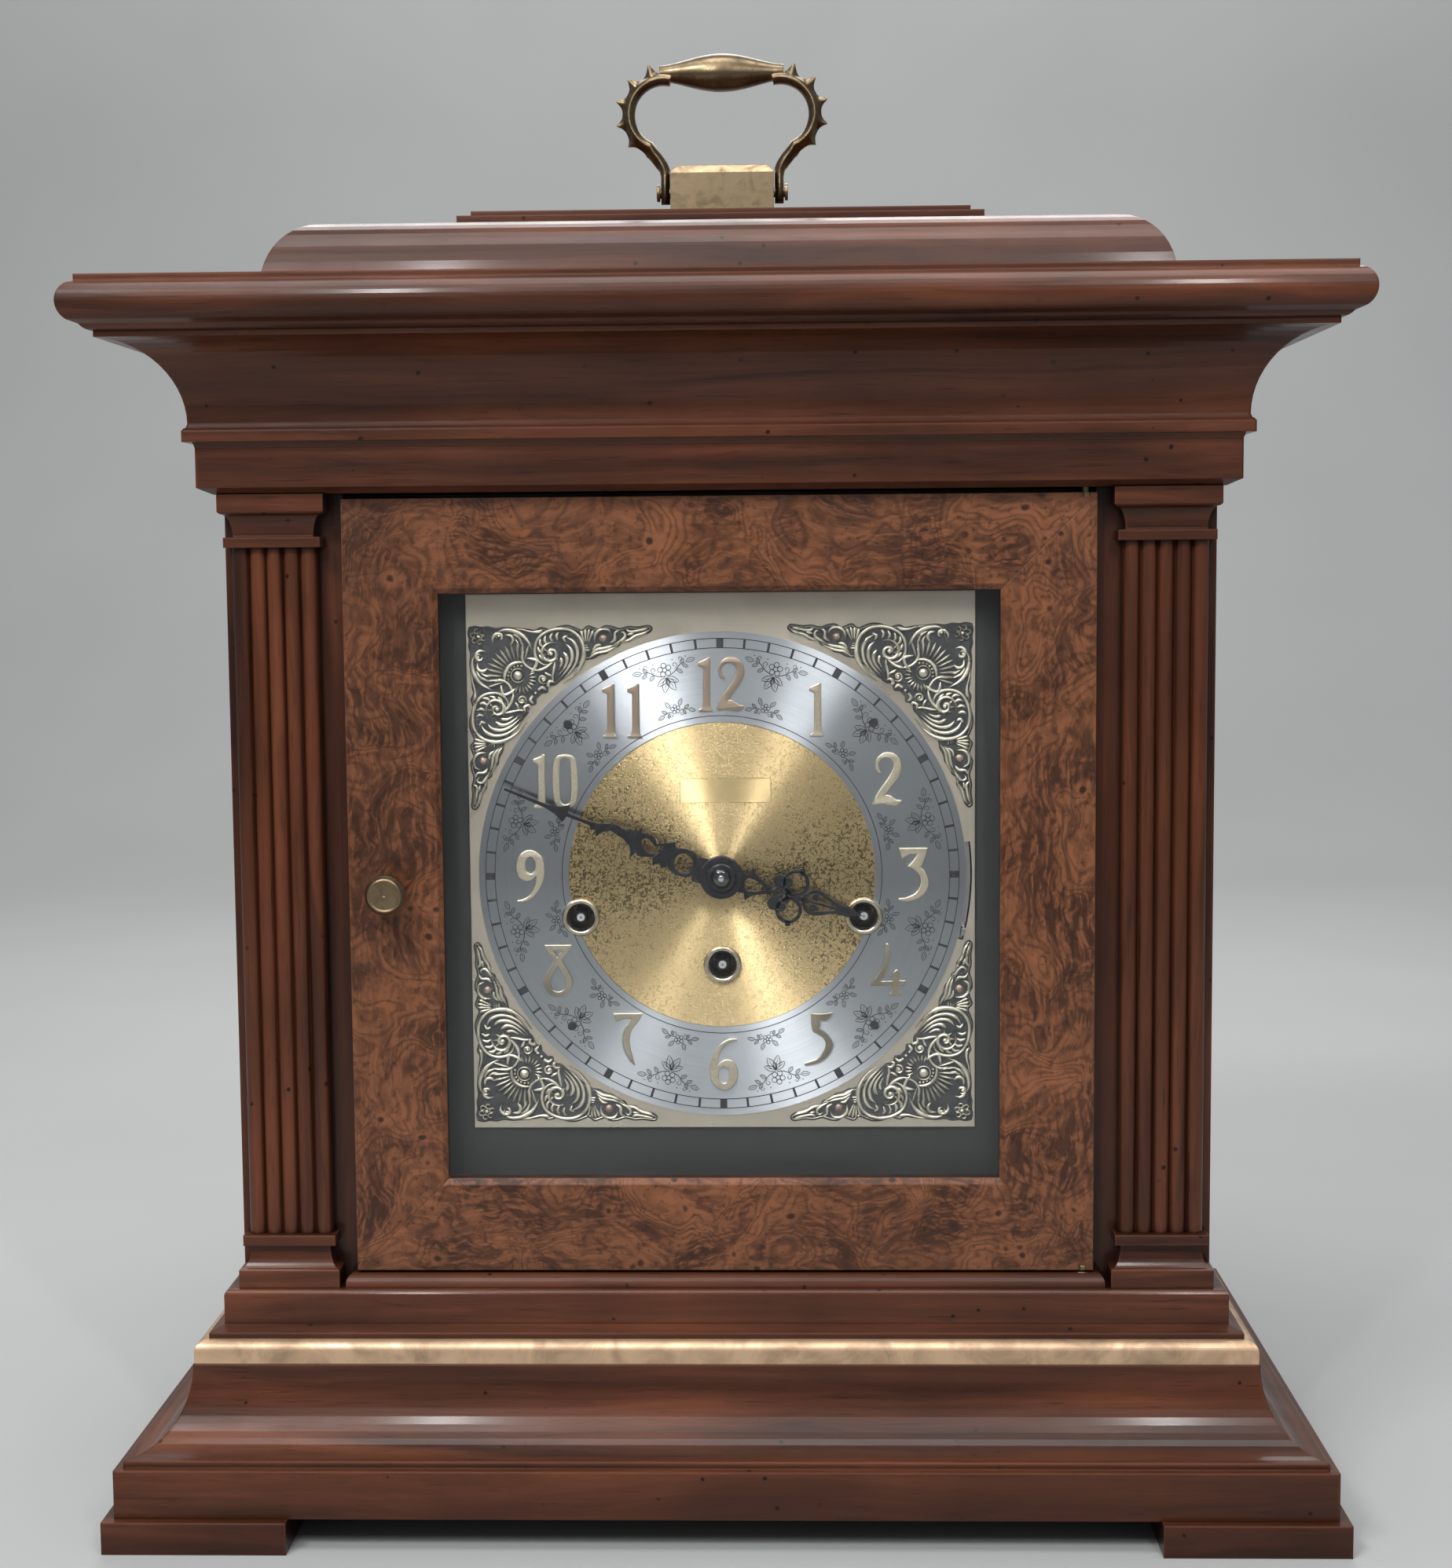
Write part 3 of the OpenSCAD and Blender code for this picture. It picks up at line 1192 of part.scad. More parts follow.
// Part of a ring from angle a0 to a1
module ring_part(r0, r1, a0, a1) {
    n = 8;
    step = (a1 - a0) / n;
    polygon(concat(
        [for (i = [0:n]) r1 * [cos(a0 + i * step), sin(a0 + i * step)]],
        [for (i = [n:-1:0]) r0 * [cos(a0 + i * step), sin(a0 + i * step)]]
    ));
}
module chime_lever() {
    color(steel) translate([0, 0, dial_z]) rotate([0, -lever_a, 0]) {
        facing(lever_y, lever_t) difference() {
            union() {
                circle(11);
                rotate(lever_arm_a) translate([8, -2.5]) square([78, 5]);
                ring_part(slot_r - 7, slot_r + 0.6, -2, lever_arm_a + 1.6);
            }
            circle(lever_bush_r + 0.05);
        }
        translate([slot_r - 0.6, -66.6, -1.4]) cube([1.2, 5.4, 2.8]);
    }
}
rod_count = 5;
rod_y0 = 12;
rod_step = 8;
rod_z = 118;
block_x = 128;
module chime_block() {
    color(steel) {
        translate([block_x, rod_y0 - 8, case_floor_z]) cube([22, rod_step * (rod_count - 1) + 16, 44]);
        for (i = [0:rod_count - 1])
            translate([block_x - 238 + i * 18, rod_y0 + i * rod_step, rod_z]) rotate([0, 90, 0])
                cylinder(r = 1.2, h = 238 - i * 18 + 1, $fn = 24);
    }
}
module chime_drum() {
    pins = 9;
    color(brass) {
        rod_y(drum_x, drum_z, drum_arbor_r, plate_y, 53.8);
        rod_y(drum_x, drum_z, 7.6, 8, 49);
        for (i = [0:rod_count - 1], k = [0:pins - 1]) {
            a = 360 * (k + i / rod_count) / pins;
            translate([drum_x, rod_y0 + i * rod_step, drum_z]) rotate([0, a, 0])
                cylinder(r = 0.7, h = 9, $fn = 16);
        }
        translate([drum_x, 0, drum_z])
            gear(drum_pinion_t, side_great_m, 0.25 * drum_pinion_t + 0.5, barrel_y1 - 1, 4, 1.3);
    }
}
hammer_x = 70;
hammer_z = 170;
hammer_bore = 1.55;
hammer_len = 50;
module hammer(i) {
    y = rod_y0 + i * rod_step;
    color(brass) difference() {
        union() {
            rod_y(hammer_x, hammer_z, 3.4, y - 2.6, y + 2.6);
            translate([hammer_x, y - 0.8, hammer_z]) rotate([0, 150, 0]) {
                translate([-1.4, 0, 0]) cube([2.8, 1.6, hammer_len]);
                translate([0, 0.8, hammer_len - 5]) cylinder(r = 3.3, h = 10);
            }
            translate([hammer_x, y - 0.8, hammer_z]) rotate([0, -40, 0]) translate([-1.2, 0, 0])
                cube([2.4, 1.6, 16.4]);
        }
        rod_y(hammer_x, hammer_z, hammer_bore, y - 5, y + 5);
    }
}
module hammers() {
    for (i = [0:rod_count - 1]) hammer(i);
}

feet();
base_moulding_front();
base_moulding_sides();
base_back_rail();
gilt_strip();
ledge_board();
base_board();
door_sill();
pilasters();
column_caps();
column_bases();
front_stiles();
case_sides();
back_frame();
rear_door();
rear_door_pull();
frieze_front();
frieze_sides();
cornice_front();
cornice_sides();
cap_board();
caddy_top();
handle_plinth();
handle_block();
bail_handle();
bail_pin();
door_rails();
door_stiles();
door_glass();
glass_beads();
door_knob();
door_pivots();
fixed_pivots();
dial_mask();
dial_plate();
chapter_ring();
dial_centre();
numerals();
spandrels();
dial_rivets();
grommets();
minute_hand();
hand_nut();
centre_arbor();
hour_hand();
hour_wheel();
minute_wheel();
movement_plates();
movement_pillars();
seat_board();
going_barrel();
strike_barrel();
chime_barrel();
going_arbor();
strike_arbor();
chime_arbor();
chime_lever();
chime_block();
chime_drum();
hammers();
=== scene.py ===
"""Looks of a chiming mantel clock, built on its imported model: finishes, dial, hands, handle and stage."""
import math

import bmesh
import bpy
from bpy.props import FloatProperty, FloatVectorProperty, PointerProperty
from mathutils import Matrix, Vector


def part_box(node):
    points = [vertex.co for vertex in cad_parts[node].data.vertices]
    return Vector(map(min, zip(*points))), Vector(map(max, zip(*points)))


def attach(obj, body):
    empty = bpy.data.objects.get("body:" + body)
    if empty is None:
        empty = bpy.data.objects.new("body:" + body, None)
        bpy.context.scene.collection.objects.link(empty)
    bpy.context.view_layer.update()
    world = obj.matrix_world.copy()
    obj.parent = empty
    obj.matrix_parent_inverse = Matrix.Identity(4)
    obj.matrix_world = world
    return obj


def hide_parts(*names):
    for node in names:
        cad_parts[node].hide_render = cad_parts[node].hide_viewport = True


bl_info = {
    "name": "Mantel Clock",
    "version": (1, 0, 0),
    "blender": (4, 5, 0),
    "location": "View3D > Sidebar > Clock",
    "description": "Finishes a chiming mantel clock and builds its dial, hands and handle",
    "category": "Add Mesh",
}

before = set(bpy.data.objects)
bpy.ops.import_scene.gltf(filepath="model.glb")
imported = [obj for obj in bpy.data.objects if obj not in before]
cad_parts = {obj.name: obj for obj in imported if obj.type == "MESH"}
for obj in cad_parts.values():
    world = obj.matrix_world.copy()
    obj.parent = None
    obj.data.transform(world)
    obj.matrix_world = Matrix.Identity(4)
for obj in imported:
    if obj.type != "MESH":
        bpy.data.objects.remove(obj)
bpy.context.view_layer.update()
MM = 0.001

# Height of the hands' axis, and the front planes of the dial plate, the chapter ring and the gilt centre, in metres
DIAL_Z = 0.231
PLATE_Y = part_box("dial_plate")[0].y
RING_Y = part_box("chapter_ring")[0].y
CENTRE_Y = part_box("dial_centre")[0].y
WINDING_ARBORS = ("strike_arbor", "chime_arbor", "going_arbor")



def middle(node):
    """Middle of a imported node's box, in X, Y and Z."""
    return [(low + high) / 2 for low, high in zip(*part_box(node))]


# Axis of each winding arbor in X and Z
WINDING = [(middle(name)[0], middle(name)[2]) for name in WINDING_ARBORS]


def colour_prop(name, text, value):
    return FloatVectorProperty(name=name, description=text, default=value, size=3, subtype="COLOR",
                               min=0.0, max=1.0)


def length_prop(name, text, value):
    return FloatProperty(name=name, description=text, default=value, min=0.0, unit="LENGTH",
                         subtype="DISTANCE", precision=5)


class ClockSizes(bpy.types.PropertyGroup):
    """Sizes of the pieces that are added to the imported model."""

    track_outer: length_prop("Track outer radius", "Outer circle of the minute track", 0.0860)
    track_inner: length_prop("Track inner radius", "Inner circle of the minute track", 0.0826)
    inner_line: length_prop("Inner line radius", "Thin circle near the gilt centre", 0.0581)
    track_line: length_prop("Track line width", "Width of the printed circles", 0.0003)
    print_height: length_prop("Print height", "Height of the printed marks above the ring", 0.00004)
    numeral_radius: length_prop("Numeral radius", "Circle on which the numerals stand", 0.0695)
    numeral_height: length_prop("Numeral height", "Height of a numeral", 0.0194)
    numeral_depth: length_prop("Numeral depth", "Thickness of a numeral", 0.0007)


class ClockFinishes(bpy.types.PropertyGroup):
    """Colours of the finishes."""

    wood_dark: colour_prop("Dark wood", "Shaded grain of the case wood", (0.027, 0.0084, 0.0042))
    wood_light: colour_prop("Light wood", "Open grain of the case wood", (0.150, 0.0455, 0.0195))
    burl_dark: colour_prop("Dark burl", "Dark figure of the burl veneer", (0.034, 0.0125, 0.0062))
    burl_light: colour_prop("Light burl", "Light figure of the burl veneer", (0.205, 0.077, 0.034))
    gilt: colour_prop("Gilt", "Gilt strip of the base", (0.640, 0.440, 0.280))
    brass: colour_prop("Antique brass", "Handle, knob and hinges", (0.290, 0.218, 0.132))
    silver: colour_prop("Silvered metal", "Chapter ring", (0.500, 0.525, 0.560))
    centre: colour_prop("Gilt centre", "Centre disc of the dial", (0.760, 0.575, 0.305))
    numeral: colour_prop("Numeral metal", "Raised numerals", (0.640, 0.570, 0.440))
    plate: colour_prop("Dial plate", "Polished plate behind the ring", (0.660, 0.590, 0.490))
    black: colour_prop("Hand black", "Hands and printed marks", (0.010, 0.010, 0.012))
    ornament: colour_prop("Ornament metal", "High parts of the corner ornaments", (0.64, 0.61, 0.50))
    # dark paint, set darker still as painted shade round the dial
    board: colour_prop("Surround", "Painted board round the dial plate", (0.013, 0.0145, 0.0135))
    floor: colour_prop("Floor", "Plain floor and backdrop", (0.36, 0.365, 0.366))


# Shader building

class Shader:
    """A node material under construction."""

    def __init__(self, name):
        self.material = bpy.data.materials.new(name)
        self.material.use_nodes = True
        self.tree = self.material.node_tree
        self.bsdf = self.tree.nodes["Principled BSDF"]
        self.output = self.tree.nodes["Material Output"]
        self.place = self.node("ShaderNodeTexCoord").outputs["Object"]

    def node(self, kind, inputs=(), **values):
        """Adds a node, sets its own values, then feeds its inputs, each given by its name or number."""
        made = self.tree.nodes.new(kind)
        for key, value in values.items():
            setattr(made, key, value)
        for key, value in dict(inputs).items():
            self.feed(made.inputs[key], value)
        return made

    def link(self, source, target):
        self.tree.links.new(source, target)

    def feed(self, socket, value):
        """Links a socket, or sets a plain value; a plain colour gets a full alpha."""
        if isinstance(value, bpy.types.NodeSocket):
            self.link(value, socket)
        else:
            socket.default_value = (*value, 1.0) if socket.type == "RGBA" else value

    def stretch(self, scale, place=None):
        """Coordinates stretched by a scale for each axis."""
        return self.node("ShaderNodeMapping", {"Vector": place or self.place, "Scale": scale}).outputs["Vector"]

    def axes(self, place=None):
        """X, Y and Z of the coordinates."""
        return tuple(self.node("ShaderNodeSeparateXYZ", {0: place or self.place}).outputs)

    def noise(self, vector, scale, detail=4.0, rough=0.5, warp=0.0):
        made = self.node("ShaderNodeTexNoise", {"Vector": vector, "Scale": scale, "Detail": detail,
                                                "Roughness": rough, "Distortion": warp})
        return made.outputs["Fac"]

    def cells(self, vector, scale):
        """Distance to the nearest of many scattered points."""
        return self.node("ShaderNodeTexVoronoi", {"Vector": vector, "Scale": scale}).outputs["Distance"]

    def drift(self, place, scale, amount, detail=2.0):
        """Coordinates that wander with a soft noise."""
        cloud = self.node("ShaderNodeTexNoise", {"Vector": place, "Scale": scale, "Detail": detail})
        centred = self.vector("SUBTRACT", cloud.outputs["Color"], (0.5, 0.5, 0.5))
        spread = self.node("ShaderNodeVectorMath", {0: centred, "Scale": amount}, operation="SCALE")
        return self.vector("ADD", place, spread.outputs[0])

    def contours(self, value, count):
        """Soft lines where the value passes even steps, from 0 between them to 1 on them."""
        wave = self.math("SINE", self.times(value, 2 * math.pi * count))
        return self.span(wave, -0.2, 1.0)

    def span(self, value, low, high, to_low=0.0, to_high=1.0):
        """Value carried from one range to another, and held at the ends."""
        made = self.node("ShaderNodeMapRange", {"Value": value, "From Min": low, "From Max": high,
                                                "To Min": to_low, "To Max": to_high})
        return made.outputs["Result"]

    def vector(self, operation, a, b):
        return self.node("ShaderNodeVectorMath", {0: a, 1: b}, operation=operation).outputs[0]

    def math(self, operation, a, b=0.0):
        return self.node("ShaderNodeMath", {0: a, 1: b}, operation=operation).outputs[0]

    def times(self, a, b):
        return self.math("MULTIPLY", a, b)

    def less(self, a, b):
        return self.math("SUBTRACT", a, b)

    def reach(self, a, b):
        """Length of the long side over a right angle between a and b."""
        return self.math("SQRT", self.math("ADD", self.times(a, a), self.times(b, b)))

    def mix(self, factor, a, b):
        """Colour between a and b; a Mix node holds its two colours at 6 and 7, and gives the mixed one at 2."""
        return self.node("ShaderNodeMix", {"Factor": factor, 6: a, 7: b}, data_type="RGBA").outputs[2]

    def bump(self, height, strength, distance, normal=None):
        """Normal that follows a height, over the plain face or over another normal."""
        made = self.node("ShaderNodeBump", {"Height": height, "Strength": strength, "Distance": distance})
        if normal is not None:
            self.link(normal, made.inputs["Normal"])
        return made.outputs["Normal"]

    def recess(self, reach):
        """Mask for painted shade: near 0 in the corners of mouldings, 1 on open faces."""
        return self.node("ShaderNodeAmbientOcclusion", {"Distance": reach}, samples=6).outputs["AO"]

    def edges(self, radius):
        """Normal rounded over the edges, and a mask that is 1 on them."""
        rounded = self.node("ShaderNodeBevel", {"Radius": radius}, samples=4).outputs["Normal"]
        flat = self.node("ShaderNodeNewGeometry").outputs["Normal"]
        dot = self.node("ShaderNodeVectorMath", {0: rounded, 1: flat}, operation="DOT_PRODUCT")
        return rounded, self.span(dot.outputs["Value"], 0.995, 0.90)

    def finish(self, colour, rough, normal=None, metallic=0.0, coat=0.0, coat_rough=0.1, shine=0.5):
        """Feeds the surface and gives its material."""
        surface = {"Base Color": colour, "Roughness": rough, "Metallic": metallic, "Specular IOR Level": shine,
                   "Coat Weight": coat, "Coat Roughness": coat_rough}
        for name, value in surface.items():
            self.feed(self.bsdf.inputs[name], value)
        if normal is not None:
            self.link(normal, self.bsdf.inputs["Normal"])
        return self.material


def tone(colour, factor):
    return tuple(min(1.0, c * factor) for c in colour)


# Scale of the wood figure for boards whose grain runs along each axis, and how much finer the pores are
GRAIN = {"x": (1.2, 26.0, 26.0), "y": (26.0, 1.2, 26.0), "z": (26.0, 26.0, 1.2)}
PORES = 9.0


def case_wood(name, dark, light, grain):
    """Lacquered dark hardwood with long pores, soft figure, small dark distress marks, and painted shade in corners
    and under overhangs.
    """
    s = Shader(name)
    wavy = s.drift(s.place, 11.0, 0.010)
    along = s.stretch(GRAIN[grain], wavy)
    bands = s.noise(along, 3.0, 6.0, 0.62, 0.6)
    rings = s.contours(s.noise(along, 0.75, 1.5, 0.4, 0.3), 9.0)
    pores = s.noise(s.stretch(tuple(v * PORES for v in GRAIN[grain])), 5.0, 3.0, 0.6)
    clouds = s.noise(s.place, 14.0, 3.0, 0.5)
    base = s.mix(s.span(bands, 0.32, 0.66), dark, light)
    base = s.mix(s.times(rings, 0.34), base, tone(dark, 0.8))
    base = s.mix(s.span(clouds, 0.35, 0.72, 0.0, 0.6), base, tone(dark, 1.1))
    base = s.mix(s.span(pores, 0.60, 0.74, 0.0, 0.6), base, tone(dark, 0.35))
    marks = s.cells(s.drift(s.place, 240.0, 0.0012), 105.0)
    area = s.noise(s.place, 31.0, 2.0)
    specks = s.times(s.span(marks, 0.105, 0.07), s.span(area, 0.47, 0.55))
    base = s.mix(s.times(specks, 0.9), base, tone(dark, 0.12))
    # painted shade: much darker in corners and under overhangs within 70 mm, partly also dark glaze in the quirks
    base = s.mix(s.span(s.recess(0.070), 0.22, 0.82, 0.92, 0.0), base, tone(dark, 0.22))
    rounded, worn = s.edges(0.0011)
    base = s.mix(s.times(worn, s.span(clouds, 0.3, 0.7, 0.1, 0.6)), base, tone(light, 1.35))
    rough = s.span(s.noise(s.place, 60.0, 4.0), 0.3, 0.7, 0.30, 0.42)
    return s.finish(base, rough, s.bump(pores, 0.14, 0.0003, rounded), coat=0.28, coat_rough=0.12, shine=0.15)


def burl_wood(name, dark, light, lie):
    """Burl veneer: swirled fibres, growth lines that close round the eyes, a satin lacquer, and painted shade near
    its frame.
    """
    s = Shader(name)
    swirl = s.drift(s.place, 24.0, 0.024, 3.0)
    knots = s.noise(swirl, 34.0, 2.0, 0.45, 0.7)
    lines = s.contours(knots, 17.0)
    fibres = s.noise(s.stretch(lie, s.drift(swirl, 60.0, 0.007)), 1.2, 3.0, 0.6, 0.4)
    mottle = s.noise(s.place, 38.0, 4.0, 0.6, 0.8)
    clouds = s.noise(s.place, 11.0, 2.0)
    base = s.mix(s.span(knots, 0.38, 0.62), tone(dark, 1.5), light)
    base = s.mix(s.span(mottle, 0.40, 0.66, 0.0, 0.75), base, tone(dark, 1.5))
    base = s.mix(s.span(fibres, 0.44, 0.60, 0.0, 0.6), base, tone(light, 1.25))
    base = s.mix(s.span(clouds, 0.42, 0.66, 0.0, 0.35), base, dark)
    base = s.mix(s.times(lines, 0.45), base, tone(dark, 0.75))
    eyes = s.cells(s.drift(s.place, 60.0, 0.006), 95.0)
    groups = s.span(s.noise(s.place, 17.0, 2.0), 0.44, 0.53)
    pips = s.times(s.span(eyes, 0.15, 0.08), groups)
    halo = s.times(s.span(eyes, 0.40, 0.22), groups)
    base = s.mix(s.times(halo, 0.45), base, tone(light, 1.15))
    base = s.mix(s.times(pips, 0.85), base, tone(dark, 0.35))
    pores = s.noise(s.place, 480.0, 3.0, 0.6)
    base = s.mix(s.span(pores, 0.56, 0.70, 0.0, 0.55), base, tone(dark, 0.45))
    # painted shade: darker in corners and under overhangs within 30 mm
    base = s.mix(s.span(s.recess(0.030), 0.35, 0.90, 0.7, 0.0), base, tone(dark, 0.5))
    rounded, worn = s.edges(0.0009)
    base = s.mix(s.times(worn, 0.4), base, tone(light, 1.2))
    rough = s.span(mottle, 0.3, 0.7, 0.32, 0.44)
    return s.finish(base, rough, s.bump(pores, 0.10, 0.0003, rounded), coat=0.25, coat_rough=0.2, shine=0.2)


def metal(name, colour, rough=0.3, tarnish=0.5, scale=90.0, edge=0.0005, bright=1.35, metallic=1.0, grain=0.10,
          shine=0.5):
    """Metal or enamel with cloudy tarnish, fine scratches and rubbed edges."""
    s = Shader(name)
    clouds = s.noise(s.place, scale, 5.0, 0.6, 0.8)
    grit = s.noise(s.place, scale * 9.0, 3.0, 0.6)
    base = s.mix(s.span(clouds, 0.40, 0.70, 0.0, tarnish), colour, tone(colour, 0.34))
    rounded, worn = s.edges(edge)
    base = s.mix(s.times(worn, 0.6), base, tone(colour, bright))
    level = s.span(clouds, 0.3, 0.7, rough * 0.8, rough * 1.35)
    return s.finish(base, level, s.bump(grit, grain, 0.0002, rounded), metallic=metallic, shine=shine)


def assign(node, material):
    """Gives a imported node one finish."""
    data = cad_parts[node].data
    data.materials.clear()
    data.materials.append(material)


def camera_matrix(place, yaw, pitch, roll):
    """Matrix of a camera that looks along +Y, then is turned by the three angles in radians."""
    cy, sy = math.cos(yaw), math.sin(yaw)
    cp, sp = math.cos(pitch), math.sin(pitch)
    cr, sr = math.cos(roll), math.sin(roll)
    turn = (Matrix(((cy, -sy, 0), (sy, cy, 0), (0, 0, 1)))
            @ Matrix(((1, 0, 0), (0, cp, -sp), (0, sp, cp)))
            @ Matrix(((cr, 0, sr), (0, 1, 0), (-sr, 0, cr))))
    right, ahead, up = turn.col
    axes = Matrix((right, up, -ahead)).transposed()
    return Matrix.Translation(place) @ axes.to_4x4()


# Pieces are drawn in millimetres in X and Z, with their fronts towards -Y

def spline(points, closed=False, steps=5):
    """Smooth line through the points; a point with a third value is a corner."""
    count = len(points)
    line = []
    for i in range(count if closed else count - 1):
        near = [points[(i + k) % count] if closed else points[min(max(i + k, 0), count - 1)]
                for k in (-1, 0, 1, 2)]
        if len(near[1]) > 2:
            near[0] = near[1]
        if len(near[2]) > 2:
            near[3] = near[2]
        a, b, c, d = (Vector(p[:2]) for p in near)
        for k in range(steps):
            t = k / steps
            line.append(tuple(0.5 * (2 * b + (c - a) * t + (2 * a - 5 * b + 4 * c - d) * t ** 2
                                     + (3 * b - a - 3 * c + d) * t ** 3)))
    if not closed:
        line.append(tuple(points[-1][:2]))
    return line


def around(x, z, radius, angle):
    """Point at an angle in degrees on a circle."""
    a = math.radians(angle)
    return x + radius * math.cos(a), z + radius * math.sin(a)


def ring_points(x, z, radius, count=24, start=0.0, end=360.0):
    """Points on a circle, or on an arc when it ends before the full turn."""
    last = count if end - start >= 360.0 else count - 1
    return [around(x, z, radius, start + (end - start) * i / last) for i in range(count)]


def curl(x, z, outer, inner, start, turn, count=20):
    """Points on a spiral that winds in from the outer to the inner radius."""
    steps = [i / count for i in range(count + 1)]
    return [around(x, z, outer + (inner - outer) * t ** 0.8, start + turn * t) for t in steps]


def fan(middle, half, count):
    """Even angles in degrees that spread by half to each side of the middle one."""
    return [middle - half + 2 * half * i / (count - 1) for i in range(count)]


def smooth_loops(outlines, steps=4):
    """Closed smooth lines through several outlines."""
    return [spline(outline, True, steps) for outline in outlines]


def about_dial(angle):
    """From the hands' axis to its place on the case, turned clockwise by an angle in degrees."""
    return Matrix.Translation((0, 0, DIAL_Z / MM)) @ Matrix.Rotation(math.radians(angle), 4, "Y")


class Form:
    """Faces of one piece under construction, each with the number of its material."""

    def __init__(self):
        self.verts = []
        self.faces = []
        self.slots = []

    def add(self, verts, faces, slot=0):
        start = len(self.verts)
        self.verts += verts
        self.faces += [tuple(start + i for i in face) for face in faces]
        self.slots += [slot] * len(faces)

    def grid(self, rows, closed=False, slot=0):
        """Skin over rows of equal length, closed across each row or open."""
        wide = len(rows[0])
        verts = [v for row in rows for v in row]
        faces = []
        for r in range(len(rows) - 1):
            for c in range(wide if closed else wide - 1):
                d = (c + 1) % wide
                faces.append((r * wide + c, r * wide + d, (r + 1) * wide + d, (r + 1) * wide + c))
        self.add(verts, faces, slot)

    def lathe(self, x, z, profile, count=32, slot=0, y=0.0):
        """Solid turned about an axis along Y; profile gives radius and height towards the front."""
        rows = []
        for radius, height in profile:
            rows.append([(x + radius * math.cos(2 * math.pi * i / count), y - height,
                          z + radius * math.sin(2 * math.pi * i / count)) for i in range(count)])
        self.grid(rows, True, slot)

    def ridge(self, line, widths, height, slot=0, base=0.0, count=6):
        """Half-round stroke on the plane at base, as wide as widths says from its start to its end."""
        rows = []
        last = len(line) - 1
        full = max(widths)
        for i, (x, z) in enumerate(line):
            ahead = Vector(line[min(i + 1, last)]) - Vector(line[max(i - 1, 0)])
            if ahead.length == 0:
                continue
            ahead.normalize()
            place = i / last * (len(widths) - 1)
            low = min(int(place), len(widths) - 2)
            width = widths[low] + (widths[low + 1] - widths[low]) * (place - low)
            width = max(width * min(1.0, 0.25 + 4 * i / last, 0.25 + 4 * (1 - i / last)), 0.03)
            tall = height * (width / full) ** 0.7
            row = []
            for k in range(count + 1):
                angle = math.pi * k / count
                side = 0.5 * width * math.cos(angle)
                row.append((x - ahead.y * side, base - tall * math.sin(angle), z + ahead.x * side))
            rows.append(row)
        self.tube(rows, slot)

    def tube(self, rows, slot=0):
        """Closed skin over rows, with an end face at both ends."""
        self.grid(rows, True, slot)
        wide = len(rows[0])
        start = len(self.verts) - wide * len(rows)
        self.faces += [tuple(range(start, start + wide)), tuple(range(len(self.verts) - wide, len(self.verts)))]
        self.slots += [slot, slot]

    def ribbon(self, line, width, front, back, slot=0, closed=False):
        """Printed line of even width between the planes at front and back."""
        rows = []
        last = len(line) - 1
        for i, (x, z) in enumerate(line):
            if closed:
                ahead = Vector(line[(i + 1) % len(line)]) - Vector(line[i - 1])
            else:
                ahead = Vector(line[min(i + 1, last)]) - Vector(line[max(i - 1, 0)])
            ahead.normalize()
            near = 0.5 * width * (1.0 if closed else min(1.0, 0.35 + 3 * i / last, 0.35 + 3 * (1 - i / last)))
            sx, sz = -ahead.y * near, ahead.x * near
            rows.append([(x + sx, back, z + sz), (x + sx, front, z + sz),
                         (x - sx, front, z - sz), (x - sx, back, z - sz)])
        if closed:
            self.grid(rows + rows[:1], True, slot)
        else:
            self.tube(rows, slot)

    def band(self, r0, r1, a0, a1, count, front, back, slot=0):
        """Part of a flat ring between two radii and two angles in degrees, or the whole ring."""
        full = a1 - a0 >= 360
        rows = []
        for i in range(count if full else count + 1):
            a = math.radians(a0 + (a1 - a0) * i / count)
            c, d = math.sin(a), math.cos(a)
            rows.append([(r0 * c, back, r0 * d), (r0 * c, front, r0 * d),
                         (r1 * c, front, r1 * d), (r1 * c, back, r1 * d)])
        if full:
            self.grid(rows + rows[:1], True, slot)
        else:
            self.tube(rows, slot)

    def dot(self, x, z, radius, height, slot=0, base=0.0):
        """Small dome."""
        steps = [(math.cos(a), math.sin(a)) for a in (math.pi / 2 * i / 4 for i in range(5))]
        self.lathe(x, z, [(radius * c + 0.01, height * s) for c, s in steps], 14, slot, base)

    def slab(self, outlines, thick, bevel, y, slot=0):
        """Flat plate of closed outlines, the even ones solid and the ones inside them open."""
        data = bpy.data.curves.new("outline", "CURVE")
        data.dimensions = "2D"
        data.fill_mode = "BOTH"
        data.extrude = thick / 2 - bevel
        data.bevel_depth = bevel
        data.bevel_resolution = 2
        data.offset = -bevel
        for outline in outlines:
            run = data.splines.new("POLY")
            run.points.add(len(outline) - 1)
            for point, (px, pz) in zip(run.points, outline):
                point.co = (px, pz, 0.0, 1.0)
            run.use_cyclic_u = True
        holder = bpy.data.objects.new("outline", data)
        mesh = bpy.data.meshes.new_from_object(holder)
        self.add([(v.co.x, y - thick / 2 - v.co.z, v.co.y) for v in mesh.vertices],
                 [tuple(face.vertices) for face in mesh.polygons], slot)
        bpy.data.objects.remove(holder)
        bpy.data.curves.remove(data)
        bpy.data.meshes.remove(mesh)

    def place(self, other, matrix):
        """Takes the faces of another form, moved by a matrix; a mirrored copy keeps its fronts."""
        start = len(self.verts)
        self.verts += [tuple(matrix @ Vector(v)) for v in other.verts]
        turned = matrix.to_3x3().determinant() < 0
        self.faces += [tuple(start + i for i in (reversed(f) if turned else f)) for f in other.faces]
        self.slots += other.slots

    def moved(self, matrix):
        """A copy of the form, moved by a matrix."""
        copy = Form()
        copy.place(self, matrix)
        return copy

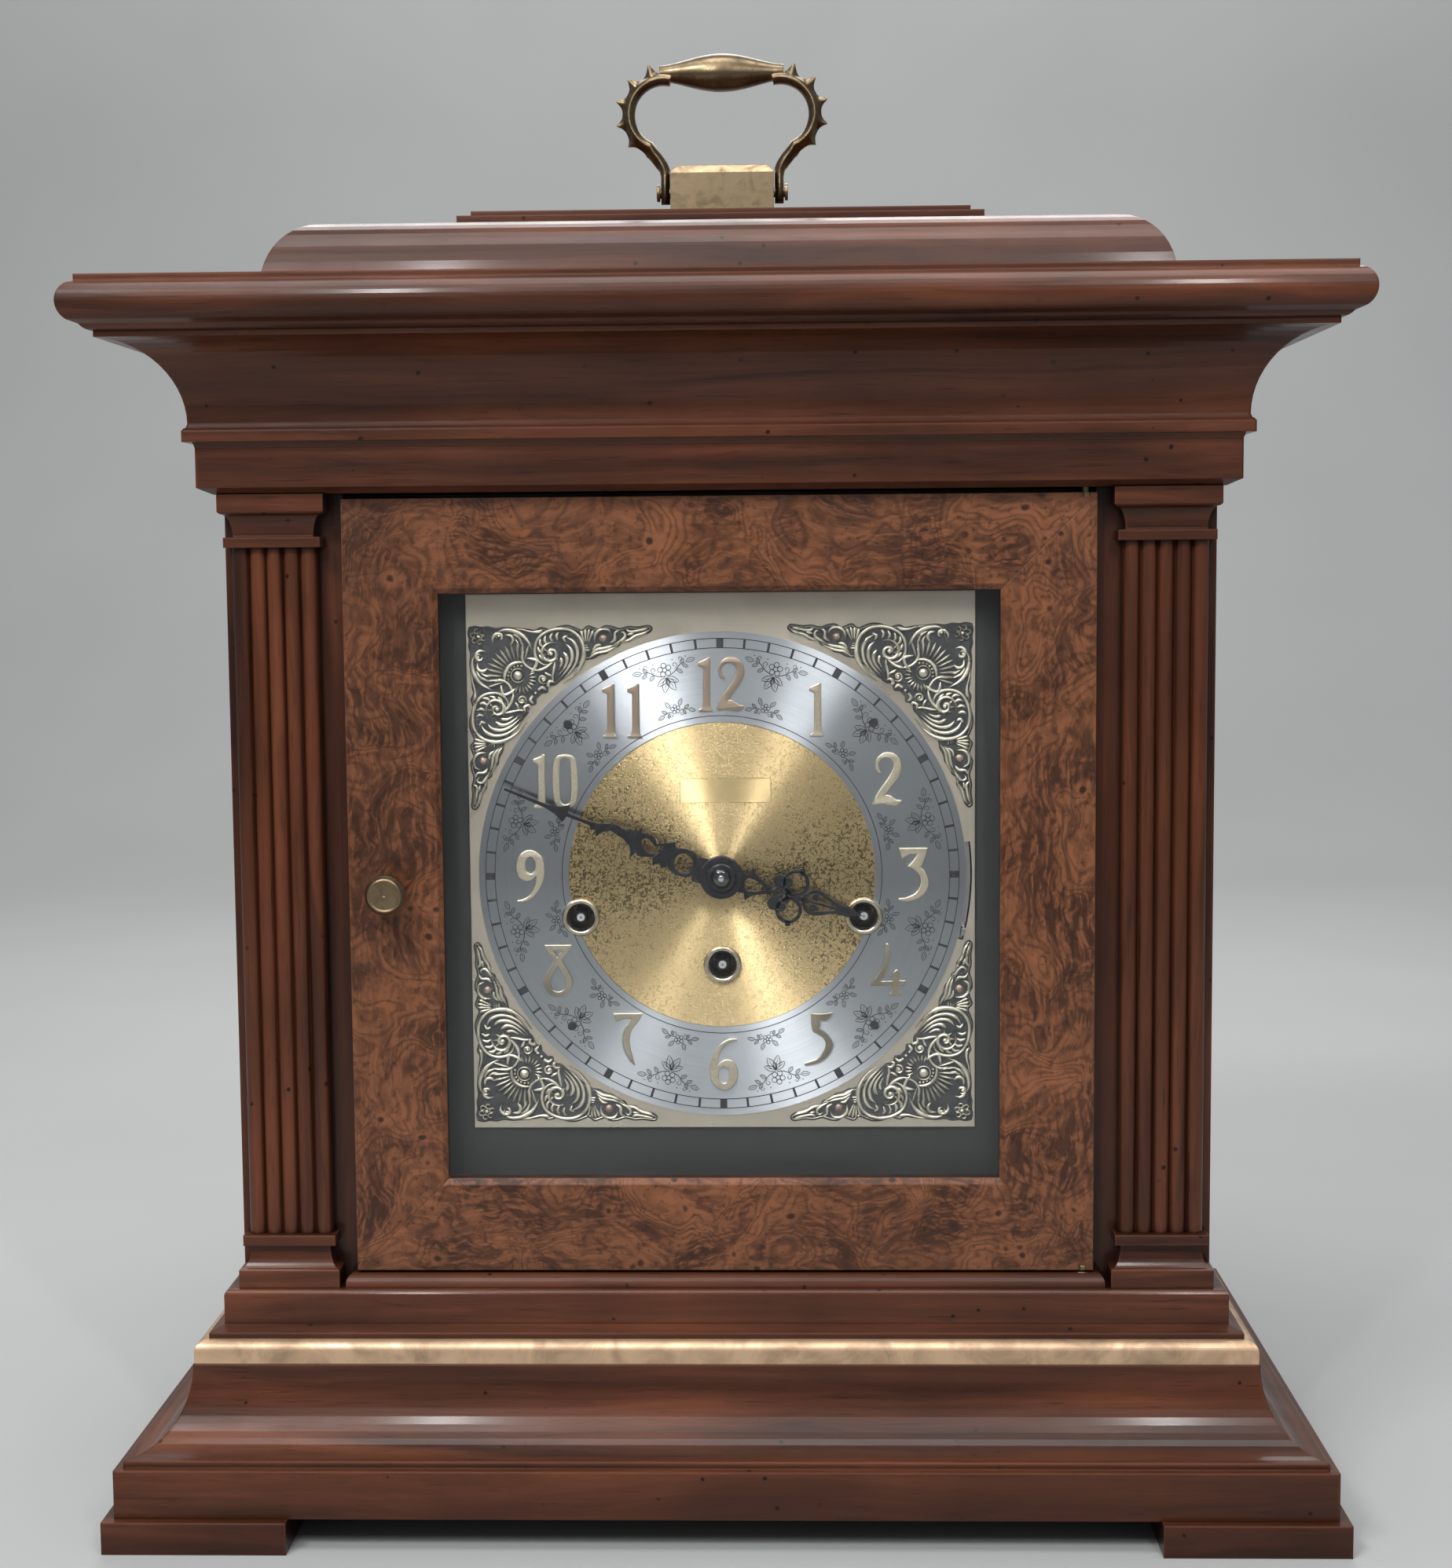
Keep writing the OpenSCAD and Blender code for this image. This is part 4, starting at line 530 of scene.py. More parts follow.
    def build(self, name, materials, body, finish, smooth=35.0, replaced=()):
        """Makes the piece, in metres, and says what it rides on; the finish argument is not used."""
        data = bpy.data.meshes.new(name)
        data.from_pydata([tuple(c * MM for c in v) for v in self.verts], [], self.faces)
        for material in materials:
            data.materials.append(material)
        for face, slot in zip(data.polygons, self.slots):
            face.material_index = slot
        work = bmesh.new()
        work.from_mesh(data)
        bmesh.ops.remove_doubles(work, verts=work.verts, dist=1e-7)
        bmesh.ops.dissolve_degenerate(work, dist=1e-8, edges=work.edges)
        bmesh.ops.recalc_face_normals(work, faces=work.faces)
        for edge in work.edges:
            edge.smooth = len(edge.link_faces) == 2 and edge.calc_face_angle(0.0) < math.radians(smooth)
        for face in work.faces:
            face.smooth = True
        work.to_mesh(data)
        work.free()
        piece = bpy.data.objects.new(name, data)
        bpy.context.scene.collection.objects.link(piece)
        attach(piece, body)
        for node in replaced:
            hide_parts(node)
        return piece


class CLOCK_OT_case_finish(bpy.types.Operator):
    """Lacquer the case boards, mouldings and pilasters, and gild the base strip"""

    bl_idname = "clock.case_finish"
    bl_label = "Case Finish"
    bl_options = {"REGISTER", "UNDO"}

    def execute(self, context):
        finishes = context.scene.clock_finishes
        dark, light = finishes.wood_dark, finishes.wood_light
        woods = {g: case_wood("case_wood_" + g, dark, light, g) for g in "xyz"}
        runs = {
            "x": ("feet base_moulding_front base_back_rail ledge_board base_board door_sill frieze_front"
                  " cornice_front cap_board caddy_top handle_plinth column_caps column_bases seat_board"),
            "y": "base_moulding_sides frieze_sides cornice_sides",
            "z": "pilasters front_stiles case_sides back_frame rear_door glass_beads",
        }
        for grain, names in runs.items():
            for name in names.split():
                assign(name, woods[grain])
        burl = finishes.burl_dark, finishes.burl_light
        assign("door_rails", burl_wood("burl_rails", *burl, (70.0, 420.0, 420.0)))
        assign("door_stiles", burl_wood("burl_stiles", *burl, (420.0, 420.0, 70.0)))
        assign("gilt_strip", metal("gilt_leaf", finishes.gilt, rough=0.42, tarnish=0.75, scale=60.0, edge=0.0006,
                                   bright=1.3, metallic=0.6))
        # painted shade: the board's dark paint is set darker still for the shade round the dial
        assign("dial_mask", metal("painted_board", finishes.board, rough=0.42, tarnish=0.25, scale=30.0, bright=1.3,
                                  metallic=0.0, grain=0.015))
        return {"FINISHED"}


class CLOCK_OT_fittings_finish(bpy.types.Operator):
    """Give the brass and steel fittings, the glass and the movement their finishes"""

    bl_idname = "clock.fittings_finish"
    bl_label = "Fittings Finish"
    bl_options = {"REGISTER", "UNDO"}

    def execute(self, context):
        finishes = context.scene.clock_finishes
        materials = {
            "door_knob door_pivots fixed_pivots handle_block bail_pin rear_door_pull":
                metal("antique_brass", finishes.brass, rough=0.32, tarnish=0.85, scale=130.0),
            "movement_plates going_barrel strike_barrel chime_barrel chime_drum hammers hour_wheel minute_wheel":
                metal("movement_brass", tone(finishes.brass, 1.35), rough=0.26, tarnish=0.3, scale=40.0),
            "centre_arbor movement_pillars chime_lever chime_block":
                metal("steel", (0.42, 0.43, 0.45), rough=0.28, tarnish=0.3, scale=60.0),
            "dial_rivets":
                metal("black_enamel", finishes.black, rough=0.36, tarnish=0.3, edge=0.0003, bright=3.0, metallic=0.0),
            " ".join(WINDING_ARBORS): self.winding_steel(),
            "door_glass": self.clear_glass(),
        }
        for names, material in materials.items():
            for name in names.split():
                assign(name, material)
        return {"FINISHED"}

    def winding_steel(self):
        """Steel painted near black as shade deep in the winding holes, with a painted highlight on each arbor's end:
        a bright disc about its axis with a darker dot in the middle.
        """
        s = Shader("winding_steel")
        across, _, up = s.axes()
        near = 1.0
        for x, z in WINDING:
            near = s.math("MINIMUM", s.reach(s.less(across, x), s.less(up, z)), near)
        scuffs = s.noise(s.place, 700.0, 3.0)
        # painted shade: near-black steel, with random scuffs
        base = s.mix(s.span(scuffs, 0.4, 0.7), (0.016, 0.016, 0.018), (0.045, 0.044, 0.043))
        # painted highlight: a bright disc about each arbor's axis, with a darker dot in its middle
        base = s.mix(s.span(near, 0.00155, 0.00130), base, (0.62, 0.62, 0.63))
        base = s.mix(s.span(near, 0.0006, 0.0003, 0.0, 0.7), base, (0.06, 0.06, 0.06))
        return s.finish(base, s.span(scuffs, 0.3, 0.7, 0.28, 0.42), s.bump(scuffs, 0.1, 0.0001), metallic=0.9)

    def clear_glass(self):
        """Faintly smeared glass that lets the lamps through to the dial."""
        s = Shader("clear_glass")
        smear = s.noise(s.place, 22.0, 4.0)
        glass = {"Base Color": (0.97, 0.985, 0.98), "Roughness": s.span(smear, 0.3, 0.8, 0.0, 0.03),
                 "Transmission Weight": 1.0, "IOR": 1.30}
        for name, value in glass.items():
            s.feed(s.bsdf.inputs[name], value)
        shadow = s.node("ShaderNodeLightPath").outputs["Is Shadow Ray"]
        through = s.node("ShaderNodeBsdfTransparent")
        join = s.node("ShaderNodeMixShader", {0: shadow, 1: s.bsdf.outputs[0], 2: through.outputs[0]})
        s.link(join.outputs[0], s.output.inputs["Surface"])
        return s.material


class CLOCK_OT_dial_finish(bpy.types.Operator):
    """Finish the dial plate, the chapter ring and the gilt centre"""

    bl_idname = "clock.dial_finish"
    bl_label = "Dial Finish"
    bl_options = {"REGISTER", "UNDO"}

    def execute(self, context):
        finishes = context.scene.clock_finishes
        assign("chapter_ring", self.spun_metal("silvered_ring", finishes.silver, 0.32))
        assign("dial_centre", self.flecked_gilt("flecked_gilt", finishes.centre))
        assign("dial_plate", metal("polished_plate", finishes.plate, tarnish=0.22, scale=24.0, edge=0.0004,
                                   bright=1.1, grain=0.01))
        return {"FINISHED"}

    def spin(self, s):
        """Circular brushing about the hands' axis, so that highlights run out along the radii."""
        s.link(s.node("ShaderNodeTangent", direction_type="RADIAL", axis="Y").outputs[0], s.bsdf.inputs["Tangent"])
        s.bsdf.inputs["Anisotropic"].default_value = 1.0
        s.bsdf.inputs["Anisotropic Rotation"].default_value = 0.25

    def polar(self, s):
        """Radius and angle about the hands' axis, then X and Z from it."""
        x, _, z = s.axes(s.vector("SUBTRACT", s.place, (0.0, 0.0, DIAL_Z)))
        return s.reach(x, z), s.math("ARCTAN2", z, x), x, z

    def spun_metal(self, name, colour, rough):
        """Silvered metal with fine circular lines and faint dull clouds."""
        s = Shader(name)
        radius, angle, _, _ = self.polar(s)
        joined = s.node("ShaderNodeCombineXYZ", {0: s.times(radius, 5200.0), 1: s.times(angle, 1.4)})
        lines = s.noise(joined.outputs[0], 1.0, 3.0, 0.6)
        clouds = s.noise(s.place, 38.0, 3.0)
        base = s.mix(s.span(lines, 0.3, 0.7), tone(colour, 0.90), tone(colour, 1.06))
        base = s.mix(s.span(clouds, 0.45, 0.75, 0.0, 0.25), base, tone(colour, 0.78))
        self.spin(s)
        return s.finish(base, rough, s.bump(lines, 0.10, 0.00012), metallic=1.0)

    def flecked_gilt(self, name, colour):
        """Gilt disc with branching dark flecks, close together at the sides and sparse above and below; the flecks
        carry painted shade, darker towards the sides.
        """
        s = Shader(name)
        radius, _, x, z = self.polar(s)
        flat = s.stretch((1.0, 0.0, 1.0))
        across = s.less(s.times(x, 0.985), s.times(z, 0.174))
        side = s.math("ABSOLUTE", s.math("DIVIDE", across, s.math("MAXIMUM", radius, 0.001)))
        patches = s.noise(flat, 42.0, 2.0)
        ridge = s.math("ABSOLUTE", s.less(s.noise(flat, 500.0, 1.5, 0.5, 0.9), 0.5))
        width = s.math("ADD", s.span(side, 0.70, 0.97, 0.030, 0.058), s.span(patches, 0.35, 0.7, -0.010, 0.014))
        worms = s.span(s.less(width, ridge), 0.0, 0.012)
        broken = s.span(s.noise(flat, 1050.0, 1.0), 0.38, 0.47)
        blots = s.span(s.noise(flat, 760.0, 2.0, 0.5, 1.2), 0.59, 0.63)
        # the bare place inside the panel line
        panel = s.times(s.span(s.math("ABSOLUTE", s.less(x, 0.0016)), 0.0162, 0.0166, 1.0, 0.0),
                        s.span(s.math("ABSOLUTE", s.less(z, 0.0309)), 0.0041, 0.0045, 1.0, 0.0))
        flecks = s.math("MAXIMUM", s.times(worms, broken), s.times(blots, 0.8))
        mask = s.times(flecks, s.less(1.0, panel))
        # painted shade: the flecks turn darker towards the left and right sides
        fleck_and_side_shade = s.mix(s.span(side, 0.55, 0.95), tone(colour, 0.58), (0.170, 0.125, 0.065))
        tint = s.mix(s.span(patches, 0.3, 0.7), tone(colour, 0.92), tone(colour, 1.08))
        base = s.mix(s.times(mask, 0.9), tint, fleck_and_side_shade)
        self.spin(s)
        rough = s.span(mask, 0.0, 1.0, 0.31, 0.45)
        return s.finish(base, rough, s.bump(s.less(1.0, mask), 0.25, 0.0002), metallic=1.0)


# Outlines of the raised figures, in millimetres about the middle of each; a third value marks a corner
DIGITS = {
    "0": [(0, 9.7), (2.9, 9.0), (4.3, 6.0), (4.6, 0), (4.3, -6.0), (2.9, -9.0), (0, -9.7), (-2.9, -9.0),
          (-4.3, -6.0), (-4.6, 0), (-4.3, 6.0), (-2.9, 9.0)],
    "1": [(0.9, 9.8, 1), (1.7, 9.7, 1), (1.65, 2, 1), (1.65, -6.0), (1.8, -8.2), (2.5, -9.1, 1), (2.5, -9.8, 1),
          (-2.5, -9.8, 1), (-2.5, -9.1, 1), (-1.4, -8.2), (-0.9, -6.0), (-0.85, 2, 1), (-0.85, 5.9, 1),
          (-1.5, 6.5), (-2.6, 6.7, 1), (-2.5, 7.9, 1), (-1.5, 8.4), (0.2, 9.1)],
    "2": [(-1.9, 2.0, 1), (-3.6, 2.5), (-4.4, 4.7), (-3.9, 7.3), (-1.9, 9.3), (0.4, 9.7), (2.9, 9.0), (4.6, 7.0),
          (5.1, 4.4), (4.5, 1.9), (2.9, -0.7), (0.7, -3.5), (-0.6, -5.8, 1), (0.1, -5.7), (1.5, -6.3), (3.2, -7.5),
          (5.1, -7.7, 1), (4.4, -8.9), (2.7, -9.7), (0.1, -9.3), (-2.2, -8.9), (-4.4, -9.4), (-5.0, -9.0, 1),
          (-4.1, -6.0), (-2.4, -3.2), (0.1, 0.2), (1.8, 3.3), (2.1, 5.3), (1.4, 7.1), (-0.5, 7.9), (-2.4, 7.0),
          (-3.3, 5.3), (-2.9, 3.6)],
    "3": [(-5.2, 9.7, 1), (5.1, 9.7, 1), (4.6, 7.3), (3.4, 4.2), (2.5, 2.5, 1), (4.0, 1.2), (5.3, -1.4), (5.3, -4.6),
          (3.6, -7.4), (0.6, -9.1), (-2.6, -9.8), (-5.4, -9.3, 1), (-5.2, -8.7), (-2.5, -8.3), (0.4, -7.0),
          (2.2, -4.6), (2.6, -1.8), (1.6, 0.6), (-0.4, 2.2), (-2.0, 2.9, 1), (-0.7, 4.4), (0.6, 6.0),
          (1.6, 7.6, 1), (-1.8, 7.3), (-3.4, 6.1), (-4.2, 5.8, 1), (-4.7, 7.8)],
    "4": [(-0.6, 9.5), (0.4, 9.0), (1.0, 6.5), (0.3, 2.0), (-1.1, -2.0), (-2.5, -4.2, 1), (1.4, -4.2, 1),
          (1.5, -2.0), (2.2, -0.7), (3.3, -0.1), (4.1, -1.2), (4.2, -4.0, 1), (6.4, -4.0, 1), (6.0, -6.0, 1),
          (4.2, -6.0, 1), (4.2, -7.6), (4.9, -8.9, 1), (4.9, -9.7, 1), (0.4, -9.7, 1), (0.4, -8.9, 1), (1.3, -7.6),
          (1.3, -6.0, 1), (-6.5, -6.0, 1), (-5.5, -4.2), (-3.1, -0.9), (-1.4, 3.7), (-1.0, 8.2)],
    "5": [(-2.7, 9.5, 1), (1.3, 9.2), (5.3, 9.8, 1), (4.2, 8.0), (2.7, 6.9), (0.6, 6.9, 1), (0.3, 3.8, 1), (2.9, 2.1),
          (4.9, -0.7), (4.9, -3.6), (2.9, -6.7), (-0.5, -9.0), (-5.0, -9.8, 1), (-4.8, -8.9), (-0.5, -7.4),
          (1.8, -4.7), (2.6, -1.9), (1.5, 0.6), (-0.5, 1.9), (-2.2, 2.8, 1), (-2.6, 5.5)],
    "6": [(5.1, 9.4, 1), (2.0, 9.2), (-1.4, 7.0), (-4.2, 2.4), (-5.1, -2.3), (-4.0, -7.0), (-0.1, -9.7),
          (3.7, -8.0), (5.3, -4.0), (4.5, 0.0), (2.3, 1.6), (-0.2, 1.3), (-1.9, -0.2, 1), (-1.7, 2.8),
          (-0.2, 6.2), (2.4, 8.2), (5.0, 8.8, 1)],
    "7": [(-5.3, 9.6, 1), (5.3, 9.6, 1), (4.0, 6.9), (1.2, 3.2), (0.5, -0.9), (1.2, -5.1), (2.5, -9.7, 1),
          (-0.2, -6.5), (-2.0, -1.6), (-1.8, 2.7), (0.1, 5.6), (1.6, 7.6, 1), (-0.9, 7.8), (-3.2, 6.9),
          (-4.3, 6.6, 1)],
    "8": [(-4.8, 9.5, 1), (5.2, 9.5, 1), (4.4, 7.5), (1.7, 3.6), (4.0, -0.6), (5.3, -4.1), (3.7, -8.2), (0, -9.7),
          (-3.7, -8.2), (-5.3, -4.1), (-4.0, -0.6), (-1.5, 3.6), (-4.0, 7.5)],
}
EYES = {
    "0": [[(0, 8.6), (1.6, 7.6), (2.0, 4.5), (2.1, 0), (2.0, -4.5), (1.6, -7.6), (0, -8.6), (-1.6, -7.6),
           (-2.0, -4.5), (-2.1, 0), (-2.0, 4.5), (-1.6, 7.6)]],
    "6": [[(0.1, -0.9), (1.6, -2.0), (2.0, -4.2), (1.4, -6.4), (0.1, -7.2), (-1.2, -6.4), (-1.8, -4.2),
           (-1.4, -2.0)]],
    "8": [[(-1.5, 7.5, 1), (1.5, 7.5, 1), (0, 4.9, 1)],
          [(0, 1.6, 1), (2.3, -2.4), (2.8, -4.9), (1.9, -7.0), (0, -7.7), (-1.9, -7.0), (-2.8, -4.9), (-2.3, -2.4)]],
}


class CLOCK_OT_dial_print(bpy.types.Operator):
    """Print the minute track, the inner line, the flower sprigs and a thin panel line on the gilt centre"""

    bl_idname = "clock.dial_print"
    bl_label = "Dial Print"
    bl_options = {"REGISTER", "UNDO"}

    # Millimetres: the panel's middle and half its size, the sprigs' radii, half the width of the track's marks
    PANEL_MIDDLE = (1.6, 30.9)
    PANEL_HALF = (16.5, 4.4)
    OUTER_SPRIG = 77.3
    INNER_SPRIG = 62.6
    HOUR_MARK = 1.3
    MINUTE_MARK = 0.45
    # How far the print reaches into what carries it, so that no gap shows
    SINK = 0.02

    def execute(self, context):
        sizes = context.scene.clock_sizes
        finishes = context.scene.clock_finishes
        black = metal("print_black", finishes.black, rough=0.5, tarnish=0.2, edge=0.0001, bright=1.5, metallic=0.0)
        self.front = (RING_Y - sizes.print_height) / MM
        self.back = RING_Y / MM + self.SINK
        self.track(sizes).build("minute_track", [black], "case", "black_steel")
        for name, sprig in (("outer_sprigs", self.outer_sprig()), ("inner_sprigs", self.inner_sprig())):
            field = Form()
            for i in range(12):
                field.place(sprig, about_dial(15 + 30 * i))
            field.build(name, [black], "case", "black_steel")
        self.panel_line(sizes).build("panel_line", [metal("panel_line_brass", finishes.brass)], "case", "brass")
        return {"FINISHED"}

    def track(self, sizes):
        """The two circles of the minute track with its sixty marks, and the inner line."""
        drawn = Form()
        outer, inner, line = sizes.track_outer / MM, sizes.track_inner / MM, sizes.track_line / MM
        for radius in (outer, inner, sizes.inner_line / MM):
            drawn.band(radius - line / 2, radius + line / 2, 0, 360, 192, self.front, self.back)
        for minute in range(60):
            half = math.degrees((self.MINUTE_MARK if minute % 5 else self.HOUR_MARK) / outer)
            drawn.band(inner, outer, 6 * minute - half, 6 * minute + half, 4, self.front, self.back)
        return drawn.moved(about_dial(0))

    def pen(self, form, points, width=0.26, closed=False):
        form.ribbon(spline(points, closed, 4), width, self.front, self.back, closed=closed)

    def leaf(self, form, x, z, angle, length, wide=0.42):
        """Pointed leaf with a middle vein, from its stalk at x and z."""
        ax, az = math.cos(math.radians(angle)), math.sin(math.radians(angle))
        at = lambda u, v: (x + length * (u * ax - v * az), z + length * (u * az + v * ax))
        self.pen(form, [at(0, 0), at(0.35, wide * 0.55), at(0.72, wide * 0.36), at(1, 0)])
        self.pen(form, [at(0, 0), at(0.3, -wide * 0.42), at(0.7, -wide * 0.42), at(1, 0)])
        self.pen(form, [at(0.1, 0), at(0.45, 0.02), at(0.8, -0.03)], 0.18)

    def leaves(self, form, side, base, rows):
        """Leaves on one side of a sprig; each row gives X, Z above the base, angle and length on the right side."""
        for x, z, angle, length in rows:
            self.leaf(form, side * x, base + z, angle if side > 0 else 180 - angle, length)

    def flower(self, form, x, z, size):
        """Five round petals about a small ring."""
        self.pen(form, ring_points(x, z, size * 0.3, 8), 0.22, True)
        for i in range(5):
            petal = around(x, z, 0.66 * size, 90 + 72 * i)
            self.pen(form, ring_points(*petal, size * 0.36, 8), 0.24, True)

    def outer_sprig(self):
        """Flower with a fan of leaves towards the hands and a leafy branch to each side."""
        form = Form()
        base = self.OUTER_SPRIG
        self.flower(form, 0, base, 2.5)
        for angle, length in ((-68, 5.6), (-112, 5.6), (-30, 4.6), (-150, 4.6), (-90, 3.2)):
            self.leaf(form, 0, base - 2.9, angle, length)
        for side in (1, -1):
            stem = [(0, base - 2.6), (side * 3.2, base - 1.5), (side * 5.8, base + 0.5), (side * 8.2, base + 0.9)]
            self.pen(form, stem, 0.3)
            self.leaves(form, side, base, ((8.2, 0.9, 8, 3.6), (6.2, 0.6, 52, 2.4), (4.2, -0.8, -42, 2.7),
                                           (6.6, 0.4, -38, 2.5)))
            self.pen(form, curl(side * 3.9, base + 0.9, 1.2, 0.35, 250 if side > 0 else 290, side * 400, 12), 0.22)
            self.pen(form, curl(side * 6.4, base + 2.6, 0.95, 0.3, 250 if side > 0 else 290, side * 380, 10), 0.2)
            for dx, dz in ((3.6, 2.9), (8.6, 2.9), (2.7, -5.2)):
                self.pen(form, ring_points(side * dx, base + dz, 0.12, 6), 0.2, True)
        return form

    def inner_sprig(self):
        """Small flower with leaf tips on both sides of a curved branch."""
        form = Form()
        base = self.INNER_SPRIG
        self.flower(form, 0, base, 1.7)
        for side in (1, -1):
            self.pen(form, [(side * 1.2, base - 0.9), (side * 2.9, base - 0.6), (side * 4.6, base - 1.2)], 0.28)
            self.leaves(form, side, base, ((4.4, -1.1, -24, 2.9), (3.2, -0.7, 34, 2.3), (1.6, 0.9, 58, 2.9),
                                           (2.6, -0.9, -70, 1.9)))
            self.pen(form, curl(side * 1.9, base - 1.9, 0.75, 0.25, 60 if side > 0 else 120, side * -380, 10), 0.2)
        return form

    def panel_line(self, sizes):
        """Thin rectangular line on the gilt centre, above the hands' axis."""
        form = Form()
        x, z = self.PANEL_MIDDLE
        w, h = self.PANEL_HALF
        corners = [(x - w, z - h), (x + w, z - h), (x + w, z + h), (x - w, z + h)]
        front = (CENTRE_Y - sizes.print_height) / MM
        for i in range(4):
            form.ribbon([corners[i], corners[(i + 1) % 4]], 0.3, front, CENTRE_Y / MM + self.SINK)
        return form.moved(about_dial(0))


class CLOCK_OT_numerals(bpy.types.Operator):
    """Shape the twelve raised numerals with flat faces and bright bevelled edges"""

    bl_idname = "clock.numerals"
    bl_label = "Numerals"
    bl_options = {"REGISTER", "UNDO"}

    # Millimetres: the height in which the figures are drawn, the shift of each figure of a pair, the width of
    # the bevelled edge, and how far a figure reaches into the ring
    DRAWN_HEIGHT = 19.4
    PAIR = (-5.3, 3.7)
    BEVEL = 0.22
    SINK = 0.05

    def execute(self, context):
        sizes = context.scene.clock_sizes
        finishes = context.scene.clock_finishes
        form = Form()
        radius = sizes.numeral_radius / MM
        grow = sizes.numeral_height / MM / self.DRAWN_HEIGHT
        for hour in range(1, 13):
            angle = math.radians(30 * hour)
            x, z = radius * math.sin(angle), DIAL_Z / MM + radius * math.cos(angle)
            text = str(hour)
            for i, digit in enumerate(text):
                shift = self.PAIR[i] if len(text) > 1 else 0.0
                placed = [[(x + shift + px * grow, z + pz * grow) for px, pz in line] for line in self.digit(digit)]
                form.slab(placed, sizes.numeral_depth / MM + self.SINK, self.BEVEL, RING_Y / MM + self.SINK)
        face = self.cast_face(finishes.numeral)
        form.build("raised_numerals", [face], "case", "pale_brass", 20.0, ["numerals"])
        return {"FINISHED"}

    def cast_face(self, colour):
        """Pale metal with a sandy face and polished edges, with painted shade and reflection: a dark rose tone on the
        numerals near the top and a darker olive on those low at the sides.
        """
        s = Shader("numeral_metal")
        drift = s.noise(s.place, 21.0, 1.0)
        sand = s.noise(s.place, 1500.0, 2.0)
        x, _, z = s.axes()
        rise = s.less(z, DIAL_Z)
        low = s.span(rise, -0.012, -0.030)
        wide = s.span(s.math("ABSOLUTE", x), 0.024, 0.036)
        # painted shade: the numerals low at the sides turn darker olive
        olive_painted_shade = s.times(s.times(low, wide), s.span(drift, 0.40, 0.55, 0.45, 1.0))
        base = s.mix(olive_painted_shade, colour, tone(colour, 0.42))
        # painted reflection: the numerals near the top on the left take a dark rose tone
        high = s.times(s.span(rise, 0.040, 0.056), s.span(x, 0.045, 0.010))
        base = s.mix(s.times(high, 0.8), base, (0.34, 0.235, 0.180))
        base = s.mix(s.span(sand, 0.40, 0.65, 0.0, 0.35), base, tone(colour, 0.55))
        rounded, worn = s.edges(0.0003)
        base = s.mix(s.times(worn, 0.9), base, (0.86, 0.80, 0.68))
        return s.finish(base, 0.36, s.bump(sand, 0.14, 0.0002, rounded), metallic=1.0)

    def digit(self, digit):
        """Lines of one figure and its openings; the nine is the six turned upside down."""
        turned = digit == "9"
        source = "6" if turned else digit
        lines = smooth_loops([DIGITS[source], *EYES.get(source, [])])
        return [[(-x, -z) for x, z in line] for line in lines] if turned else lines


# Corner ornament: half of its edge from the corner to the end of one leg, then to the middle of the long side
CORNER_EDGE = [
    (0.4, 0.4), (2.6, -0.1), (5.0, 0.3), (7.6, 0.1), (10.2, 0.7), (13.5, 0.4), (17.2, 0.7), (21.8, 1.1),
    (24.4, 1.5), (26.4, 0.6), (28.2, 0.9), (30.0, 1.3), (33.0, 0.2), (36.5, -0.1), (39.6, 0.9), (41.4, 1.5),
    (43.5, 0.1), (46.2, 0.9), (47.4, 1.2), (49.6, 0.1), (52.3, 0.3), (55.0, 1.1), (58.2, 0.4), (61.4, 0.6),
    (65.6, 0.1), (66.9, 1.6), (65.4, 3.2), (62.6, 3.9), (60.6, 4.6), (58.6, 6.1), (56.2, 6.0), (54.6, 7.9),
    (52.2, 8.3), (50.4, 10.3), (47.8, 10.9), (45.4, 12.2), (42.2, 12.9), (38.4, 15.9), (34.2, 19.3), (31.6, 21.6),
    (29.2, 22.0), (28.6, 24.3), (26.6, 24.6),
]

